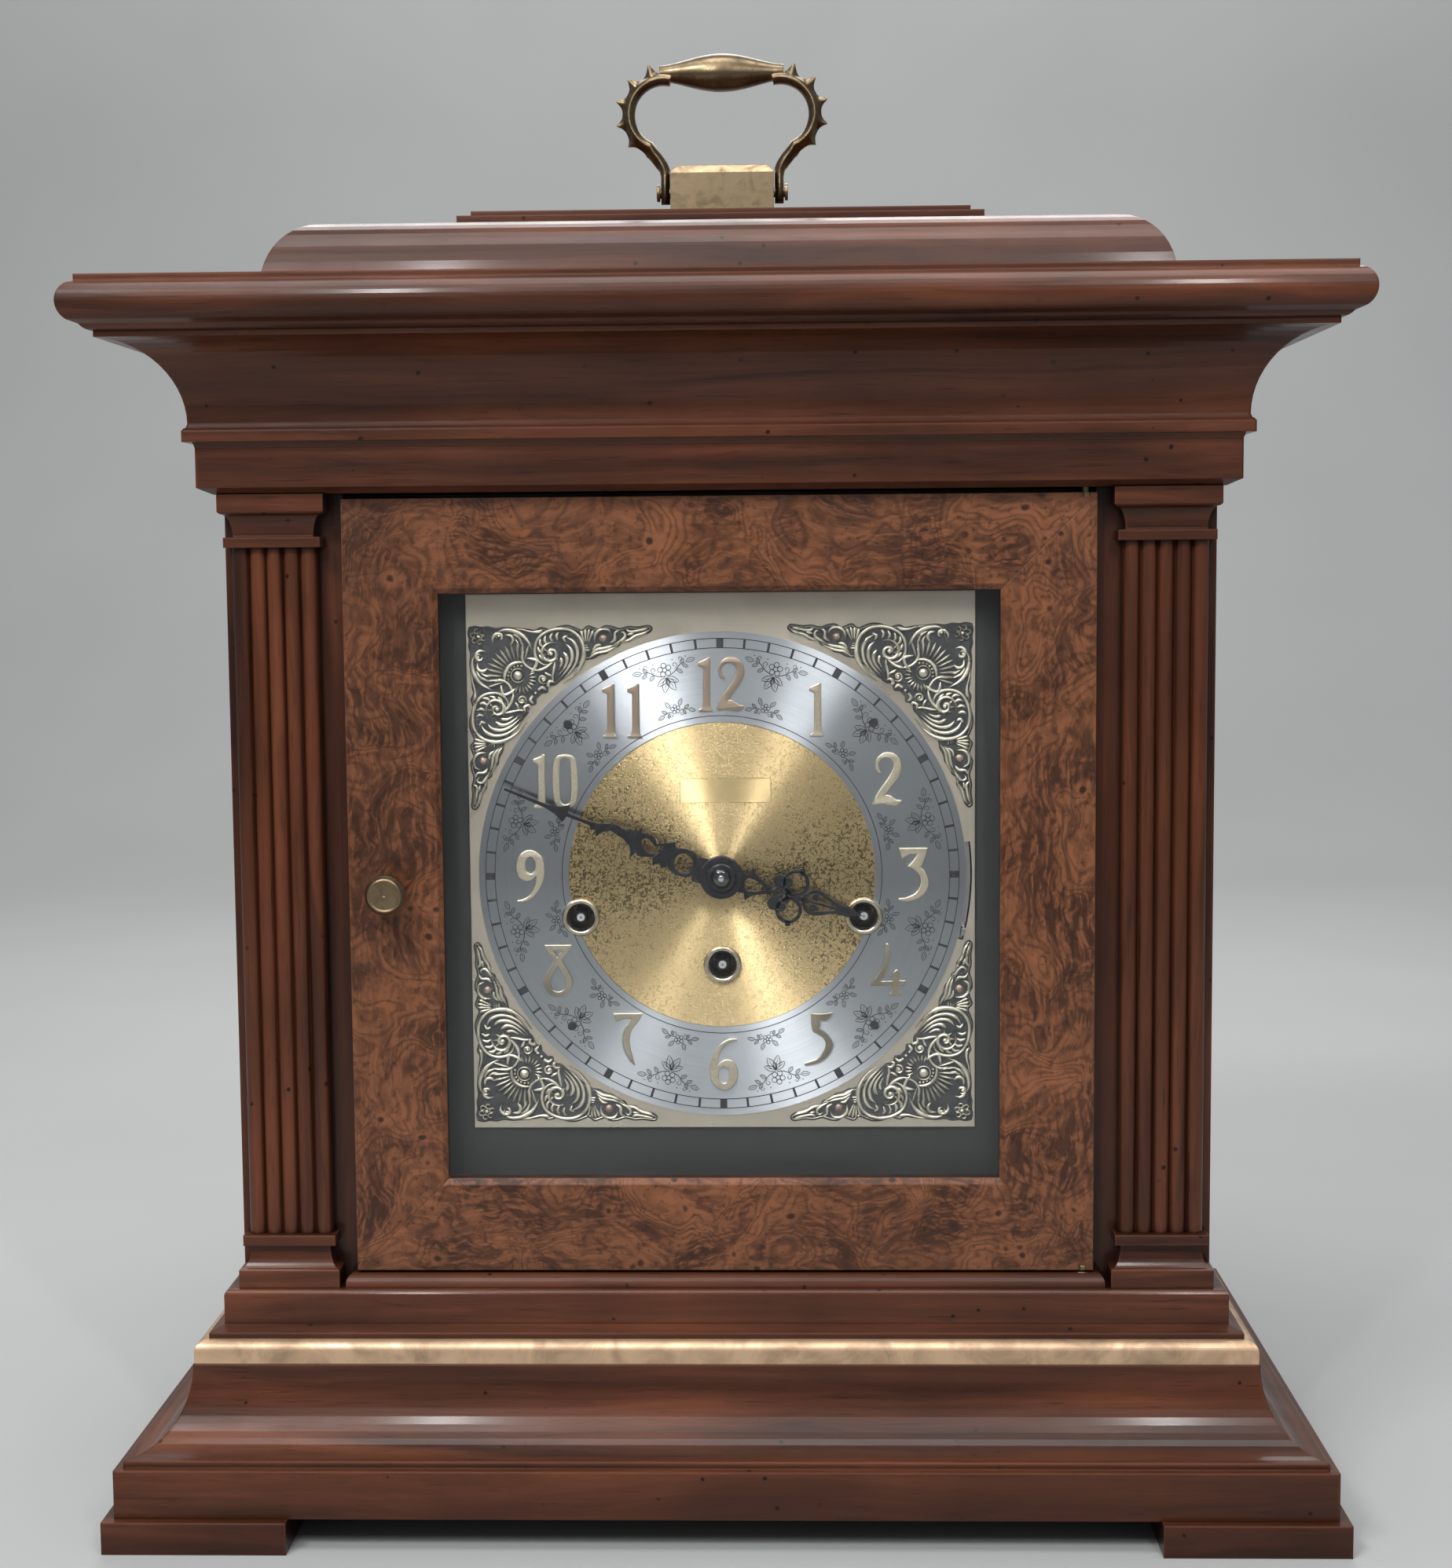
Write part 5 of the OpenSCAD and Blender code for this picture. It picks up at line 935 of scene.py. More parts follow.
# Strokes of the ornament's half: points, widths from start to end, height
CORNER_STROKES = [
    # leaf that rises beside the corner flower
    ([(9.4, 6.6), (9.0, 4.4), (10.4, 2.9), (12.2, 3.3), (12.3, 4.8), (11.2, 5.2)], (0.5, 1.2, 1.0, 0.5), 0.7),
    ([(10.2, 2.6), (13.2, 1.5), (16.8, 1.9), (20.2, 3.8), (22.2, 6.4), (23.4, 9.0)], (0.5, 1.1, 1.5, 0.9, 0.4), 0.8),
    ([(13.2, 3.4), (15.6, 3.6), (16.4, 5.4), (15.2, 7.2)], (0.4, 1.0, 1.1, 0.5), 0.7),
    ([(16.2, 2.9), (18.8, 4.6), (20.0, 7.6)], (0.4, 0.9, 0.4), 0.6),
    ([(17.0, 4.4), (18.2, 6.6), (18.0, 8.8)], (0.3, 0.9, 0.4), 0.6),
    # strap along the edge
    ([(15.8, 0.9), (19.8, 1.4), (23.4, 2.3), (25.8, 2.2), (27.4, 1.5)], (0.3, 0.6, 0.8, 1.2, 0.7), 0.7),
    # ribbon between the shell and the large scroll
    ([(20.2, 9.2), (19.6, 11.6), (20.8, 14.2), (23.2, 15.8), (25.4, 16.2)], (1.1, 0.8, 0.8, 1.1), 0.7),
    ([(21.4, 11.8), (24.8, 12.6), (24.2, 15.2), (22.6, 17.2)], (1.2, 1.0, 0.9), 0.9),
    ([(24.6, 16.4), (27.4, 15.6), (29.6, 14.2), (31.4, 12.2)], (0.9, 1.0, 0.6), 0.7),
    ([(31.6, 12.6), (31.2, 15.4), (30.6, 18.4), (30.9, 20.4)], (0.4, 0.9, 0.8, 0.4), 0.7),
    # outer sweep of the large scroll
    ([(31.2, 13.4), (27.6, 14.2), (24.9, 11.9), (24.3, 8.2), (25.6, 4.6), (28.9, 2.2), (33.2, 1.2), (37.4, 1.9),
      (40.6, 4.6), (42.0, 8.8), (41.4, 13.2), (38.6, 17.6), (34.4, 21.0)], (0.5, 1.0, 0.9, 1.2, 1.0, 1.5, 0.5), 1.0),
    ([(35.4, 4.2), (38.2, 5.8), (39.7, 9.0), (39.3, 13.0), (37.2, 16.6), (33.6, 20.0)],
     (0.6, 1.2, 1.0, 0.8, 0.3), 0.9),
    ([(35.2, 6.6), (37.3, 8.6), (37.7, 12.2), (36.0, 15.8), (32.6, 19.6)], (0.5, 1.2, 0.9, 0.3), 0.8),
    ([(34.6, 9.6), (35.9, 11.8), (35.2, 14.8), (32.4, 18.4)], (1.2, 1.2, 0.8, 0.3), 0.8),
    ([(33.6, 11.6), (33.9, 13.8), (32.6, 16.4)], (1.2, 0.9, 0.3), 0.7),
    ([(36.4, 3.6), (34.8, 4.6), (35.6, 6.2)], (0.4, 1.0, 0.5), 0.7),
    # comma leaves that hang from the sweep
    *[(leaf, (0.4, 1.0, 0.5), 0.7) for leaf in (
        [(26.4, 4.6), (26.2, 6.6), (27.5, 8.0)],
        [(28.4, 3.4), (27.9, 5.4), (29.0, 7.0)],
        [(30.8, 2.6), (30.0, 4.4), (30.8, 6.0)],
        [(33.2, 2.4), (32.2, 3.8), (32.8, 5.6)],
        [(25.4, 7.4), (25.9, 9.2), (27.4, 10.4)],
        [(25.6, 10.4), (26.8, 11.8), (28.4, 12.6)],
    )],
    # small shell on the leg
    *[(flute, (0.3, 1.1), 0.8) for flute in (
        [(42.3, 6.4), (41.0, 1.9)],
        [(42.7, 6.2), (42.6, 1.4)],
        [(43.1, 6.2), (44.1, 1.3)],
        [(43.5, 6.4), (45.6, 1.8)],
    )],
    ([(42.5, 7.3), (43.6, 7.3)], (0.4, 0.4), 0.5),
    ([(42.4, 8.1), (43.9, 8.1)], (0.5, 0.5), 0.6),
    ([(42.3, 9.0), (44.2, 9.0)], (0.6, 0.6), 0.6),
    # leaves round the rivet and along the leg
    ([(43.6, 12.2), (46.4, 10.2), (50.2, 9.4), (54.4, 7.4)], (0.4, 1.0, 0.9, 0.4), 0.9),
    ([(44.2, 10.8), (46.8, 8.8), (50.4, 8.1), (53.0, 7.2)], (0.4, 1.0, 0.9, 0.4), 0.8),
    ([(45.0, 9.4), (46.6, 7.4), (48.6, 7.2)], (0.4, 1.0, 0.5), 0.7),
    ([(46.0, 6.4), (46.2, 3.4), (48.2, 1.6), (51.0, 1.8), (52.2, 3.8)], (0.5, 1.1, 0.9, 0.5), 0.9),
    ([(51.4, 6.6), (53.2, 5.2), (53.4, 2.8), (55.4, 1.7)], (0.5, 1.1, 0.8, 0.4), 0.8),
    ([(52.4, 7.4), (55.6, 5.6), (57.0, 4.0), (56.2, 2.6), (54.9, 3.4)], (0.4, 1.0, 0.9, 0.6, 0.4), 0.8),
    ([(55.6, 6.2), (58.4, 5.4), (60.8, 3.9), (63.8, 3.0), (65.6, 1.9)], (0.4, 1.0, 1.0, 0.8), 0.9),
    ([(57.2, 1.2), (58.6, 2.4), (61.2, 2.2), (65.2, 1.3)], (0.4, 1.0, 0.9, 0.9), 0.8),
    ([(57.6, 3.6), (59.0, 3.3), (60.2, 2.9)], (0.4, 0.9, 0.4), 0.7),
    # lobes beside the crest
    ([(31.4, 20.6), (29.6, 20.2), (28.8, 21.8), (30.2, 22.0)], (0.5, 1.1, 0.9, 0.4), 0.8),
    ([(28.4, 23.6), (26.9, 22.4), (25.4, 23.4)], (0.5, 1.1, 0.6), 0.8),
    ([(30.6, 18.4), (28.8, 17.6), (27.6, 16.8)], (0.4, 0.9, 0.4), 0.6),
]
# Scrolls of the ornament's half: centre, outer and inner radius, start angle, turn, widths, height
CORNER_CURLS = [
    ((30.1, 10.2), 4.4, 0.7, -60, -520, (0.9, 1.5, 1.2, 1.4), 1.0),
    ((27.0, 19.3), 1.9, 0.5, 40, 470, (0.8, 0.8, 0.9), 0.8),
    ((11.4, 3.7), 1.3, 0.4, 120, 300, (0.7, 0.7), 0.7),
]


class CLOCK_OT_corner_ornaments(bpy.types.Operator):
    """Model the four cast corner ornaments: dark ground, bright scrolls, leaves, shell and rivets"""

    bl_idname = "clock.corner_ornaments"
    bl_label = "Corner Ornaments"
    bl_options = {"REGISTER", "UNDO"}

    # Millimetres: distance from the plate's edge, thickness and bevel of the ground, how far it reaches into the
    # plate, and how much wider the strokes are cast than drawn
    INSET = 0.7
    GROUND = 0.45
    BEVEL = 0.12
    SINK = 0.05
    SWELL = 1.25
    # Middles of the large scroll and the rivet on one half, and of the flower and the shell on the diagonal
    SCROLL = (30.1, 10.2)
    RIVET = (49.0, 4.9)
    FLOWER = 3.9
    SHELL = 18.6

    def execute(self, context):
        finishes = context.scene.clock_finishes
        one = self.ornament()
        low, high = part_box("dial_plate")
        whole = Form()
        for sx in (-1, 1):
            for sz in (-1, 1):
                edge_x = (high.x if sx > 0 else low.x) / MM - sx * self.INSET
                edge_z = DIAL_Z / MM + sz * (high.x / MM - self.INSET)
                turn = Matrix(((-sx, 0, 0, edge_x), (0, 1, 0, PLATE_Y / MM), (0, 0, -sz, edge_z), (0, 0, 0, 1)))
                whole.place(one, turn)
        rivet = metal("ornament_rivet", (0.26, 0.185, 0.15), rough=0.4, tarnish=0.4, scale=300.0, edge=0.0002,
                      bright=1.2, metallic=0.7)
        whole.build("corner_ornaments", [self.relief(finishes), self.ground(), rivet], "case", "bronzed_plate",
                    40.0, ["spandrels"])
        return {"FINISHED"}

    def both(self, points):
        """A line and its mirror image about the ornament's middle."""
        return [list(points), [(z, x) for x, z in points]]

    def ornament(self):
        """One ornament with its corner at the origin: relief in slot 0, ground in slot 1, rivets in slot 2."""
        form = Form()
        top = -self.GROUND
        edge = spline(CORNER_EDGE, False, 4)
        whole = edge + [(z, x) for x, z in reversed(edge)]
        form.slab([whole[:-1]], self.GROUND + self.SINK, self.BEVEL, self.SINK, 1)
        for points, widths, height in CORNER_STROKES:
            for line in self.both(spline(points, False, 5)):
                form.ridge(line, [w * self.SWELL for w in widths], height, base=top)
        for (x, z), outer, inner, start, turn, widths, height in CORNER_CURLS:
            for line in self.both(curl(x, z, outer, inner, start, turn, 30)):
                form.ridge(line, widths, height, base=top)
            for bx, bz in ((x, z), (z, x)):
                form.dot(bx, bz, inner + 0.2, height, base=top)
        for bx, bz in (self.SCROLL, self.SCROLL[::-1]):
            for i in range(5):
                a = math.radians(20 + 44 * i)
                ridge = [(bx + r * math.cos(a + r * 0.12), bz + r * math.sin(a + r * 0.12)) for r in (1.4, 2.4, 3.6)]
                form.ridge(ridge, (0.3, 0.8, 0.5), 0.7, base=top)
        self.flower(form, self.FLOWER, top)
        self.shell(form, self.SHELL, top)
        for x, z in (self.RIVET, self.RIVET[::-1]):
            form.dot(x, z, 1.5, 0.75, 2, top)
        self.rim(form, edge, top)
        return form

    def flower(self, form, at, top):
        """Six ring petals about a dome."""
        form.dot(at, at, 0.8, 0.9, base=top)
        for i in range(6):
            form.ridge(ring_points(*around(at, at, 2.0, 60 * i + 15), 0.85, 12), (0.5, 0.5), 0.7, base=top)

    def shell(self, form, at, top):
        """Fluted shell that opens to the corner, its beaded band, a boss and the leaf fan behind them."""
        to_corner, from_corner = 225, 45
        for a in fan(to_corner, 62, 13):
            form.ridge([around(at, at, r, a) for r in (6.0, 8.2, 10.6, 12.4)], (0.4, 0.7, 0.9, 0.9), 0.9, base=top)
        form.ridge([around(at, at, 5.4, a) for a in fan(to_corner, 74, 17)], (0.5, 1.4, 1.4, 0.5), 0.8, base=top)
        for a in fan(to_corner, 56, 7):
            form.dot(*around(at, at, 4.1, a), 0.45, 1.0, base=top)
        form.dot(at - 0.6, at - 0.6, 1.7, 1.15, base=top)
        form.ridge(ring_points(at - 0.6, at - 0.6, 2.5, 24), (0.5, 0.5), 0.6, base=top)
        for a in fan(from_corner, 66, 9):
            form.ridge([around(at + 0.4, at + 0.4, r, a) for r in (2.9, 4.2, 5.6)], (0.4, 0.9, 1.0), 0.8, base=top)
        for i in (-1, 0, 1):
            form.dot(24.4 + 1.3 * i, 24.4 - 1.3 * i, 0.6, 0.9, base=top)

    def rim(self, form, edge, top):
        """Narrow raised line just inside the edge."""
        inner = []
        for i, (x, z) in enumerate(edge):
            ahead = Vector(edge[min(i + 1, len(edge) - 1)]) - Vector(edge[max(i - 1, 0)])
            ahead.normalize()
            inner.append((x - ahead.y * 0.75, z + ahead.x * 0.75))
        for line in self.both(inner[4:]):
            form.ridge(line, (0.35, 0.45, 0.35), 0.35, base=top, count=4)

    def relief(self, finishes):
        """Bright metal on the high parts, dark in the hollows."""
        s = Shader("ornament_relief")
        _, y, _ = s.axes()
        high = s.span(y, PLATE_Y - 0.00052, PLATE_Y - 0.00092)
        cloud = s.noise(s.place, 260.0, 3.0)
        worn = s.times(high, s.span(cloud, 0.25, 0.6, 0.55, 1.0))
        base = s.mix(worn, tone(finishes.plate, 0.13), finishes.ornament)
        rough = s.span(cloud, 0.3, 0.7, 0.25, 0.42)
        return s.finish(base, rough, s.bump(cloud, 0.12, 0.0002), metallic=0.85)

    def ground(self):
        """Dark sandy ground."""
        s = Shader("ornament_ground")
        grain = s.noise(s.place, 900.0, 2.0)
        base = s.mix(s.span(grain, 0.35, 0.65), (0.008, 0.009, 0.010), (0.024, 0.026, 0.029))
        return s.finish(base, 0.6, s.bump(grain, 0.2, 0.0002))


# Right side of the minute hand from the hub to the tip, then its left side back, pointing up; a third value
# marks a corner
MINUTE_OUTLINE = [
    (4.5, 5.5, 1), (4.5, 7.6, 1), (4.1, 9.6, 1), (3.4, 10.6, 1), (4.3, 11.4, 1), (5.0, 13.4), (4.9, 16.0),
    (4.0, 18.4, 1), (4.1, 19.2, 1), (6.1, 20.1, 1), (5.2, 21.2, 1), (3.6, 24.2), (2.6, 26.2, 1), (3.6, 26.8),
    (4.7, 28.8), (4.6, 31.2, 1), (4.4, 32.4, 1), (6.2, 33.4, 1), (4.3, 33.9, 1), (4.9, 35.4, 1),
    (3.7, 35.4, 1), (4.2, 37.0, 1), (3.1, 38.6), (3.5, 41.4), (3.3, 44.2), (2.2, 46.6), (1.3, 49.4),
    (0.8, 55.0), (0.7, 60.0, 1), (3.7, 60.4, 1), (1.9, 63.4), (1.0, 67.0), (0.7, 72.0), (0.5, 84.4, 1),
    (-0.4, 84.4, 1), (-0.6, 72.0), (-0.9, 67.0), (-1.8, 63.4), (-3.3, 60.6, 1), (-0.7, 60.2, 1), (-0.5, 55.0),
    (-0.5, 51.0, 1), (-1.9, 50.2, 1), (-1.3, 48.6, 1), (-3.4, 47.3, 1), (-1.4, 46.2), (0.5, 43.6),
    (-0.1, 40.0), (-0.7, 37.2), (-2.1, 34.9), (-5.6, 33.0, 1), (-3.2, 32.0, 1), (-4.2, 30.9, 1), (-3.5, 28.6),
    (-2.5, 25.8, 1), (-5.2, 24.7, 1), (-3.7, 22.9, 1), (-5.0, 21.3, 1), (-3.6, 19.6, 1), (-4.9, 17.4),
    (-5.2, 14.6), (-4.6, 11.6), (-3.4, 10.3, 1), (-5.2, 9.3, 1), (-4.7, 5.5, 1),
]
MINUTE_EYES = [
    [(-0.2, 18.0), (2.3, 17.0), (3.2, 14.6), (2.2, 12.2), (-0.3, 11.2), (-2.8, 12.3), (-3.7, 14.7), (-2.7, 17.0)],
    [(1.9, 31.6), (3.1, 29.9), (2.3, 27.9), (1.4, 26.5, 1), (2.7, 23.4, 1), (0.9, 23.6), (-0.9, 25.2), (-1.4, 27.9),
     (-0.2, 30.6)],
]
# The hour hand in parts that overlap: outline and the openings inside it
HOUR_PARTS = [
    ([(-4.0, 5.4, 1), (-3.4, 9.2, 1), (-6.3, 10.4, 1), (-3.9, 12.4), (-2.3, 15.8), (-1.3, 19.0, 1), (1.3, 19.0, 1),
      (2.2, 15.8), (3.8, 12.4), (6.1, 10.4, 1), (3.4, 9.2, 1), (4.0, 5.4, 1)],
     [[(-1.9, 9.2), (-2.2, 11.6), (-0.4, 16.4, 1), (0.4, 16.4, 1), (2.2, 11.6), (1.9, 9.2), (0, 8.6)]]),
    ([(0, 18.2, 1), (2.8, 21.5, 1), (0, 24.8, 1), (-2.8, 21.5, 1)],
     [[(0, 20.3, 1), (1, 21.5, 1), (0, 22.7, 1), (-1, 21.5, 1)]]),
    ([(-0.9, 24.0, 1), (0.9, 24.0, 1), (0.8, 31.0, 1), (-0.8, 31.0, 1)], []),
    ([(0, 30.0), (2.2, 30.8), (4.6, 33.6), (4.3, 37.2), (2.6, 41.4), (1.8, 45.0), (1.9, 47.6), (0.6, 51.2),
      (0, 53.0, 1), (-0.6, 51.2), (-1.9, 47.6), (-1.8, 45.0), (-2.6, 41.4), (-4.3, 37.2), (-4.6, 33.6), (-2.2, 30.8)],
     [[(0.7, 32.2), (2.5, 33.0), (3.2, 35.0), (2.4, 38.4), (0.6, 43.4, 1), (0.5, 38.0)],
      [(-0.7, 32.2), (-2.5, 33.0), (-3.2, 35.0), (-2.4, 38.4), (-0.6, 43.4, 1), (-0.5, 38.0)]]),
]


class CLOCK_OT_hands(bpy.types.Operator):
    """Cut the two pierced hands with their hubs and the bright domed nut"""

    bl_idname = "clock.hands"
    bl_label = "Hands"
    bl_options = {"REGISTER", "UNDO"}

    # Degrees clockwise from the twelve, as the hands stand at rest
    MINUTE_ANGLE = 292.7
    HOUR_ANGLE = 105.9
    # Millimetres
    THICK = 0.6
    BEVEL = 0.14
    # Radius and height in millimetres of the hubs and of the nut's black collar and dark chromed dome
    MINUTE_HUB = ((1.9, -0.02), (7.5, -0.02), (7.7, 0.1), (7.7, 0.62), (7.5, 0.78), (5.9, 0.82), (5.6, 0.7),
                  (1.9, 0.7), (1.9, -0.02))
    HOUR_HUB = ((2.6, -0.02), (7.5, -0.02), (7.7, 0.1), (7.7, 0.5), (7.4, 0.62), (2.6, 0.62), (2.6, -0.02))
    COLLAR = ((1.6, 0), (5.1, 0), (5.3, 0.2), (5.2, 0.8), (4.7, 1.0), (4.2, 0.9), (3.5, 0.9), (3.5, 0.5),
              (1.6, 0.5), (1.6, 0))
    DOME = ((3.4, 0.5), (3.4, 1.1), (3.25, 1.5), (2.8, 1.95), (2.1, 2.25), (1.3, 2.4), (1.3, 0.6), (3.4, 0.5))

    def execute(self, context):
        finishes = context.scene.clock_finishes
        black = metal("hand_enamel", finishes.black, rough=0.26, tarnish=0.35, scale=260.0, edge=0.00025, bright=3.2,
                      metallic=0.0, shine=0.3)
        polished = {"tarnish": 0.1, "scale": 200.0, "edge": 0.0002, "bright": 1.1, "grain": 0.0}
        cap = metal("black_chrome", (0.13, 0.135, 0.14), rough=0.09, **polished)
        tip = metal("bright_tip", (0.70, 0.70, 0.70), rough=0.16, **polished)
        self.minute(black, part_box("minute_hand")[1].y / MM)
        self.hour(black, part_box("hour_hand")[1].y / MM)
        self.nut([black, cap, tip])
        return {"FINISHED"}

    def minute(self, black, back):
        """Long hand with two eyes, a hub and raised lines beside the eyes."""
        form = Form()
        form.slab(smooth_loops([MINUTE_OUTLINE], 3) + smooth_loops(MINUTE_EYES, 5), self.THICK, self.BEVEL, back)
        form.lathe(0, 0, self.MINUTE_HUB, 64, 0, back)
        front = back - self.THICK
        form.ridge([(-4.4, 6.6), (-4.7, 8.4), (-3.2, 9.8)], (0.3, 0.5, 0.3), 0.2, base=front)
        for x, z, radius in ((-0.2, 14.6, 4.2), (0.7, 27.6, 3.6)):
            form.ridge(ring_points(x, z, radius, 20, 200, 350), (0.25, 0.5, 0.25), 0.18, base=front)
        form.moved(about_dial(self.MINUTE_ANGLE)).build("pierced_minute_hand", [black], "minute", "black_steel", 25.0,
                                                        ["minute_hand"])

    def hour(self, black, back):
        """Short hand with a ring and small lobes to each side of its stem, and a pierced leaf at its tip."""
        form = Form()
        for outline, eyes in HOUR_PARTS:
            form.slab(smooth_loops([outline, *eyes]), self.THICK, self.BEVEL, back)
        for side in (-1, 1):
            ring = ring_points(side * 5.1, 26.6, 4.9, 36)
            hole = ring_points(side * 5.1, 26.6, 3.6, 32)
            form.slab([ring, hole], self.THICK, self.BEVEL, back)
            for x, z, radius in ((4.3, 20.8, 2.4), (4.6, 23.8, 1.7), (9.8, 27.6, 1.2), (2.0, 34.9, 1.3),
                                 (1.6, 24.6, 1.5)):
                form.slab([ring_points(side * x, z, radius, 24)], self.THICK, self.BEVEL, back)
        form.lathe(0, 0, self.HOUR_HUB, 64, 0, back)
        form.moved(about_dial(self.HOUR_ANGLE)).build("pierced_hour_hand", [black], "hour", "black_steel", 25.0,
                                                      ["hour_hand"])

    def nut(self, materials):
        """Collar in slot 0, dome in slot 1 and the arbor's bright tip in slot 2."""
        low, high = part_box("hand_nut")
        form = Form()
        back = high.y / MM
        tall = (high.y - low.y) / MM
        tip = [(1.2, 1.0), (1.2, tall - 0.35), (1.0, tall - 0.15), (0.6, tall - 0.05), (0.001, tall)]
        form.lathe(0, 0, self.COLLAR, 48, 0, back)
        form.lathe(0, 0, self.DOME, 48, 1, back)
        form.lathe(0, 0, tip, 32, 2, back)
        form.moved(about_dial(0)).build("domed_hand_nut", materials, "minute", "black_steel", 30.0, ["hand_nut"])


class CLOCK_OT_grommets(bpy.types.Operator):
    """Turn the three rounded rims of the winding holes"""

    bl_idname = "clock.grommets"
    bl_label = "Winding Rims"
    bl_options = {"REGISTER", "UNDO"}

    # Radius and height in millimetres: the dark wall of the bore, then the bright rim over its lip and down again
    BORE = ((4.42, -1.9), (4.42, 0.1), (4.62, 0.3), (5.0, 0.35))
    RIM = ((5.0, 0.35), (5.15, 0.8), (5.45, 1.05), (5.9, 1.15), (6.35, 1.05), (6.7, 0.8), (6.9, 0.45),
           (6.95, 0.15), (6.95, 0.0), (5.25, -0.05), (5.25, -1.9), (4.42, -1.9))

    def execute(self, context):
        finishes = context.scene.clock_finishes
        rim = metal("rim_brass", tone(finishes.numeral, 0.9), rough=0.22, tarnish=0.45, scale=300.0, edge=0.0002,
                    bright=1.4)
        dark = metal("rim_shadow", (0.004, 0.004, 0.004), rough=0.75, scale=200.0, tarnish=0.3, edge=0.0002,
                     bright=1.0, metallic=0.0, shine=0.15)
        base = RING_Y / MM
        form = Form()
        for x, z in WINDING:
            form.lathe(x / MM, z / MM, self.BORE, 48, 1, base)
            form.lathe(x / MM, z / MM, self.RIM, 48, 0, base)
        form.build("winding_rims", [rim, dark], "case", "brass", 30.0, ["grommets"])
        return {"FINISHED"}


class CLOCK_OT_handle(bpy.types.Operator):
    """Shape the cast bail handle: a swelled grip between two loops with pointed outer edges"""

    bl_idname = "clock.handle"
    bl_label = "Handle"
    bl_options = {"REGISTER", "UNDO"}

    # Millimetres from the pivot, for the left side: the loop's middle and radius, the reach of its outer edge
    # between the points, and the angle in degrees and the reach of each point
    LOOP = (-22.5, 29.8)
    RADIUS = 13.35
    EDGE = 16.1
    POINTS = [(107 + 28.4 * k, 20.4 - 0.5 * k) for k in range(6)]
    # Half the width of a point in degrees, and how steeply it rises
    POINT_HALF = 14.2
    POINT_RISE = 2.6
    # Degrees at which the loop leaves the grip and runs into the knee
    LOOP_FROM = 78
    LOOP_TO = 247
    LEG_X = -22.1
    # Half the grip's length, its height, its radius at the ends and how much it swells in the middle
    GRIP_HALF = 24.0
    GRIP_Z = 45.6
    GRIP_END = 2.95
    GRIP_SWELL = 4.2

    def execute(self, context):
        finishes = context.scene.clock_finishes
        brass = metal("cast_brass", tone(finishes.brass, 0.62), tarnish=0.85, scale=150.0, edge=0.0007, bright=2.6)
        middle_y = middle("bail_handle")[1] / MM
        pivot_z = middle("bail_pin")[2] / MM
        form = Form()
        side = Form()
        self.loop(side)
        for mirror in (1, -1):
            form.place(side, Matrix.Diagonal((mirror, 1, 1, 1)))
        self.grip(form)
        form.moved(Matrix.Translation((0, middle_y, pivot_z))).build("cast_bail", [brass], "handle", "brass", 40.0,
                                                                     ["bail_handle"])
        return {"FINISHED"}

    def outer(self, angle):
        """Reach of the pointed edge at an angle about the loop's middle."""
        nearest, reach = min(self.POINTS, key=lambda point: abs(point[0] - angle))
        off = min(1.0, abs(angle - nearest) / self.POINT_HALF)
        return self.EDGE + (reach - self.EDGE) * (1 - off) ** self.POINT_RISE

    def section(self, x, z, nx, nz, inside, outside, half, edge):
        """One cross-section: n points outwards, edge is half the thickness of the outer rim."""
        body = 2.3
        points = []
        steps = ((-inside, 0.0), (-inside * 0.86, 0.5 * half), (-inside * 0.45, 0.86 * half), (0.1, half),
                 (1.15, 0.86 * half), (1.6, 0.62 * half), (1.75 + 0.45 * (outside - body), 0.5 * (edge + 0.5 * half)),
                 (outside - 0.12, edge), (outside, 0.0))
        full = [(n, -y) for n, y in steps] + [(n, y) for n, y in reversed(steps[1:-1])]
        return [(x + nx * n, y, z + nz * n) for n, y in full]

    def loop(self, form):
        """From under the grip round the loop and down the leg to the pivot."""
        rows = []
        cx, cz = self.LOOP
        for i in range(97):
            angle = self.LOOP_FROM + (self.LOOP_TO - self.LOOP_FROM) * i / 96
            a = math.radians(angle)
            nx, nz = math.cos(a), math.sin(a)
            reach = self.outer(angle) - self.RADIUS
            sharp = max(0.0, (self.outer(angle) - self.EDGE) / 4.5)
            rows.append(self.section(cx + self.RADIUS * nx, cz + self.RADIUS * nz, nx, nz, 2.2, reach, 3.7,
                                     0.5 + 1.5 * sharp))
        # X, Z, direction and reach of the outer edge
        knee = [(-26.6, 15.6, 235, 3.0), (-24.5, 13.0, 222, 2.9), (-23.1, 10.6, 205, 2.6), (-22.3, 8.6, 190, 2.1)]
        for x, z, angle, outside in knee:
            a = math.radians(angle)
            rows.append(self.section(x, z, math.cos(a), math.sin(a), 2.1, outside, 3.3, 1.2))
        # Z, reach of the outer edge and half the thickness
        leg = [(6.9, 1.95, 3.1), (5.9, 1.75, 3.3), (5.0, 1.75, 4.0), (3.0, 1.75, 4.3), (0.0, 1.75, 4.35),
               (-2.4, 1.75, 3.6), (-3.7, 1.75, 2.3), (-4.3, 1.7, 0.7)]
        for z, wide, half in leg:
            rows.append(self.section(self.LEG_X, z, -1, 0, 1.75, wide, half, half * 0.6))
        form.tube(rows)

    def grip(self, form):
        """Round grip from loop to loop, thickest in the middle."""
        rows = []
        count = 36
        for i in range(41):
            t = i / 40
            radius = self.GRIP_END + self.GRIP_SWELL * math.sin(math.pi * t) ** 1.6
            x = -self.GRIP_HALF + 2 * self.GRIP_HALF * t
            rows.append([(x, radius * math.cos(2 * math.pi * k / count),
                          self.GRIP_Z + radius * math.sin(2 * math.pi * k / count)) for k in range(count)])
        form.tube(rows)


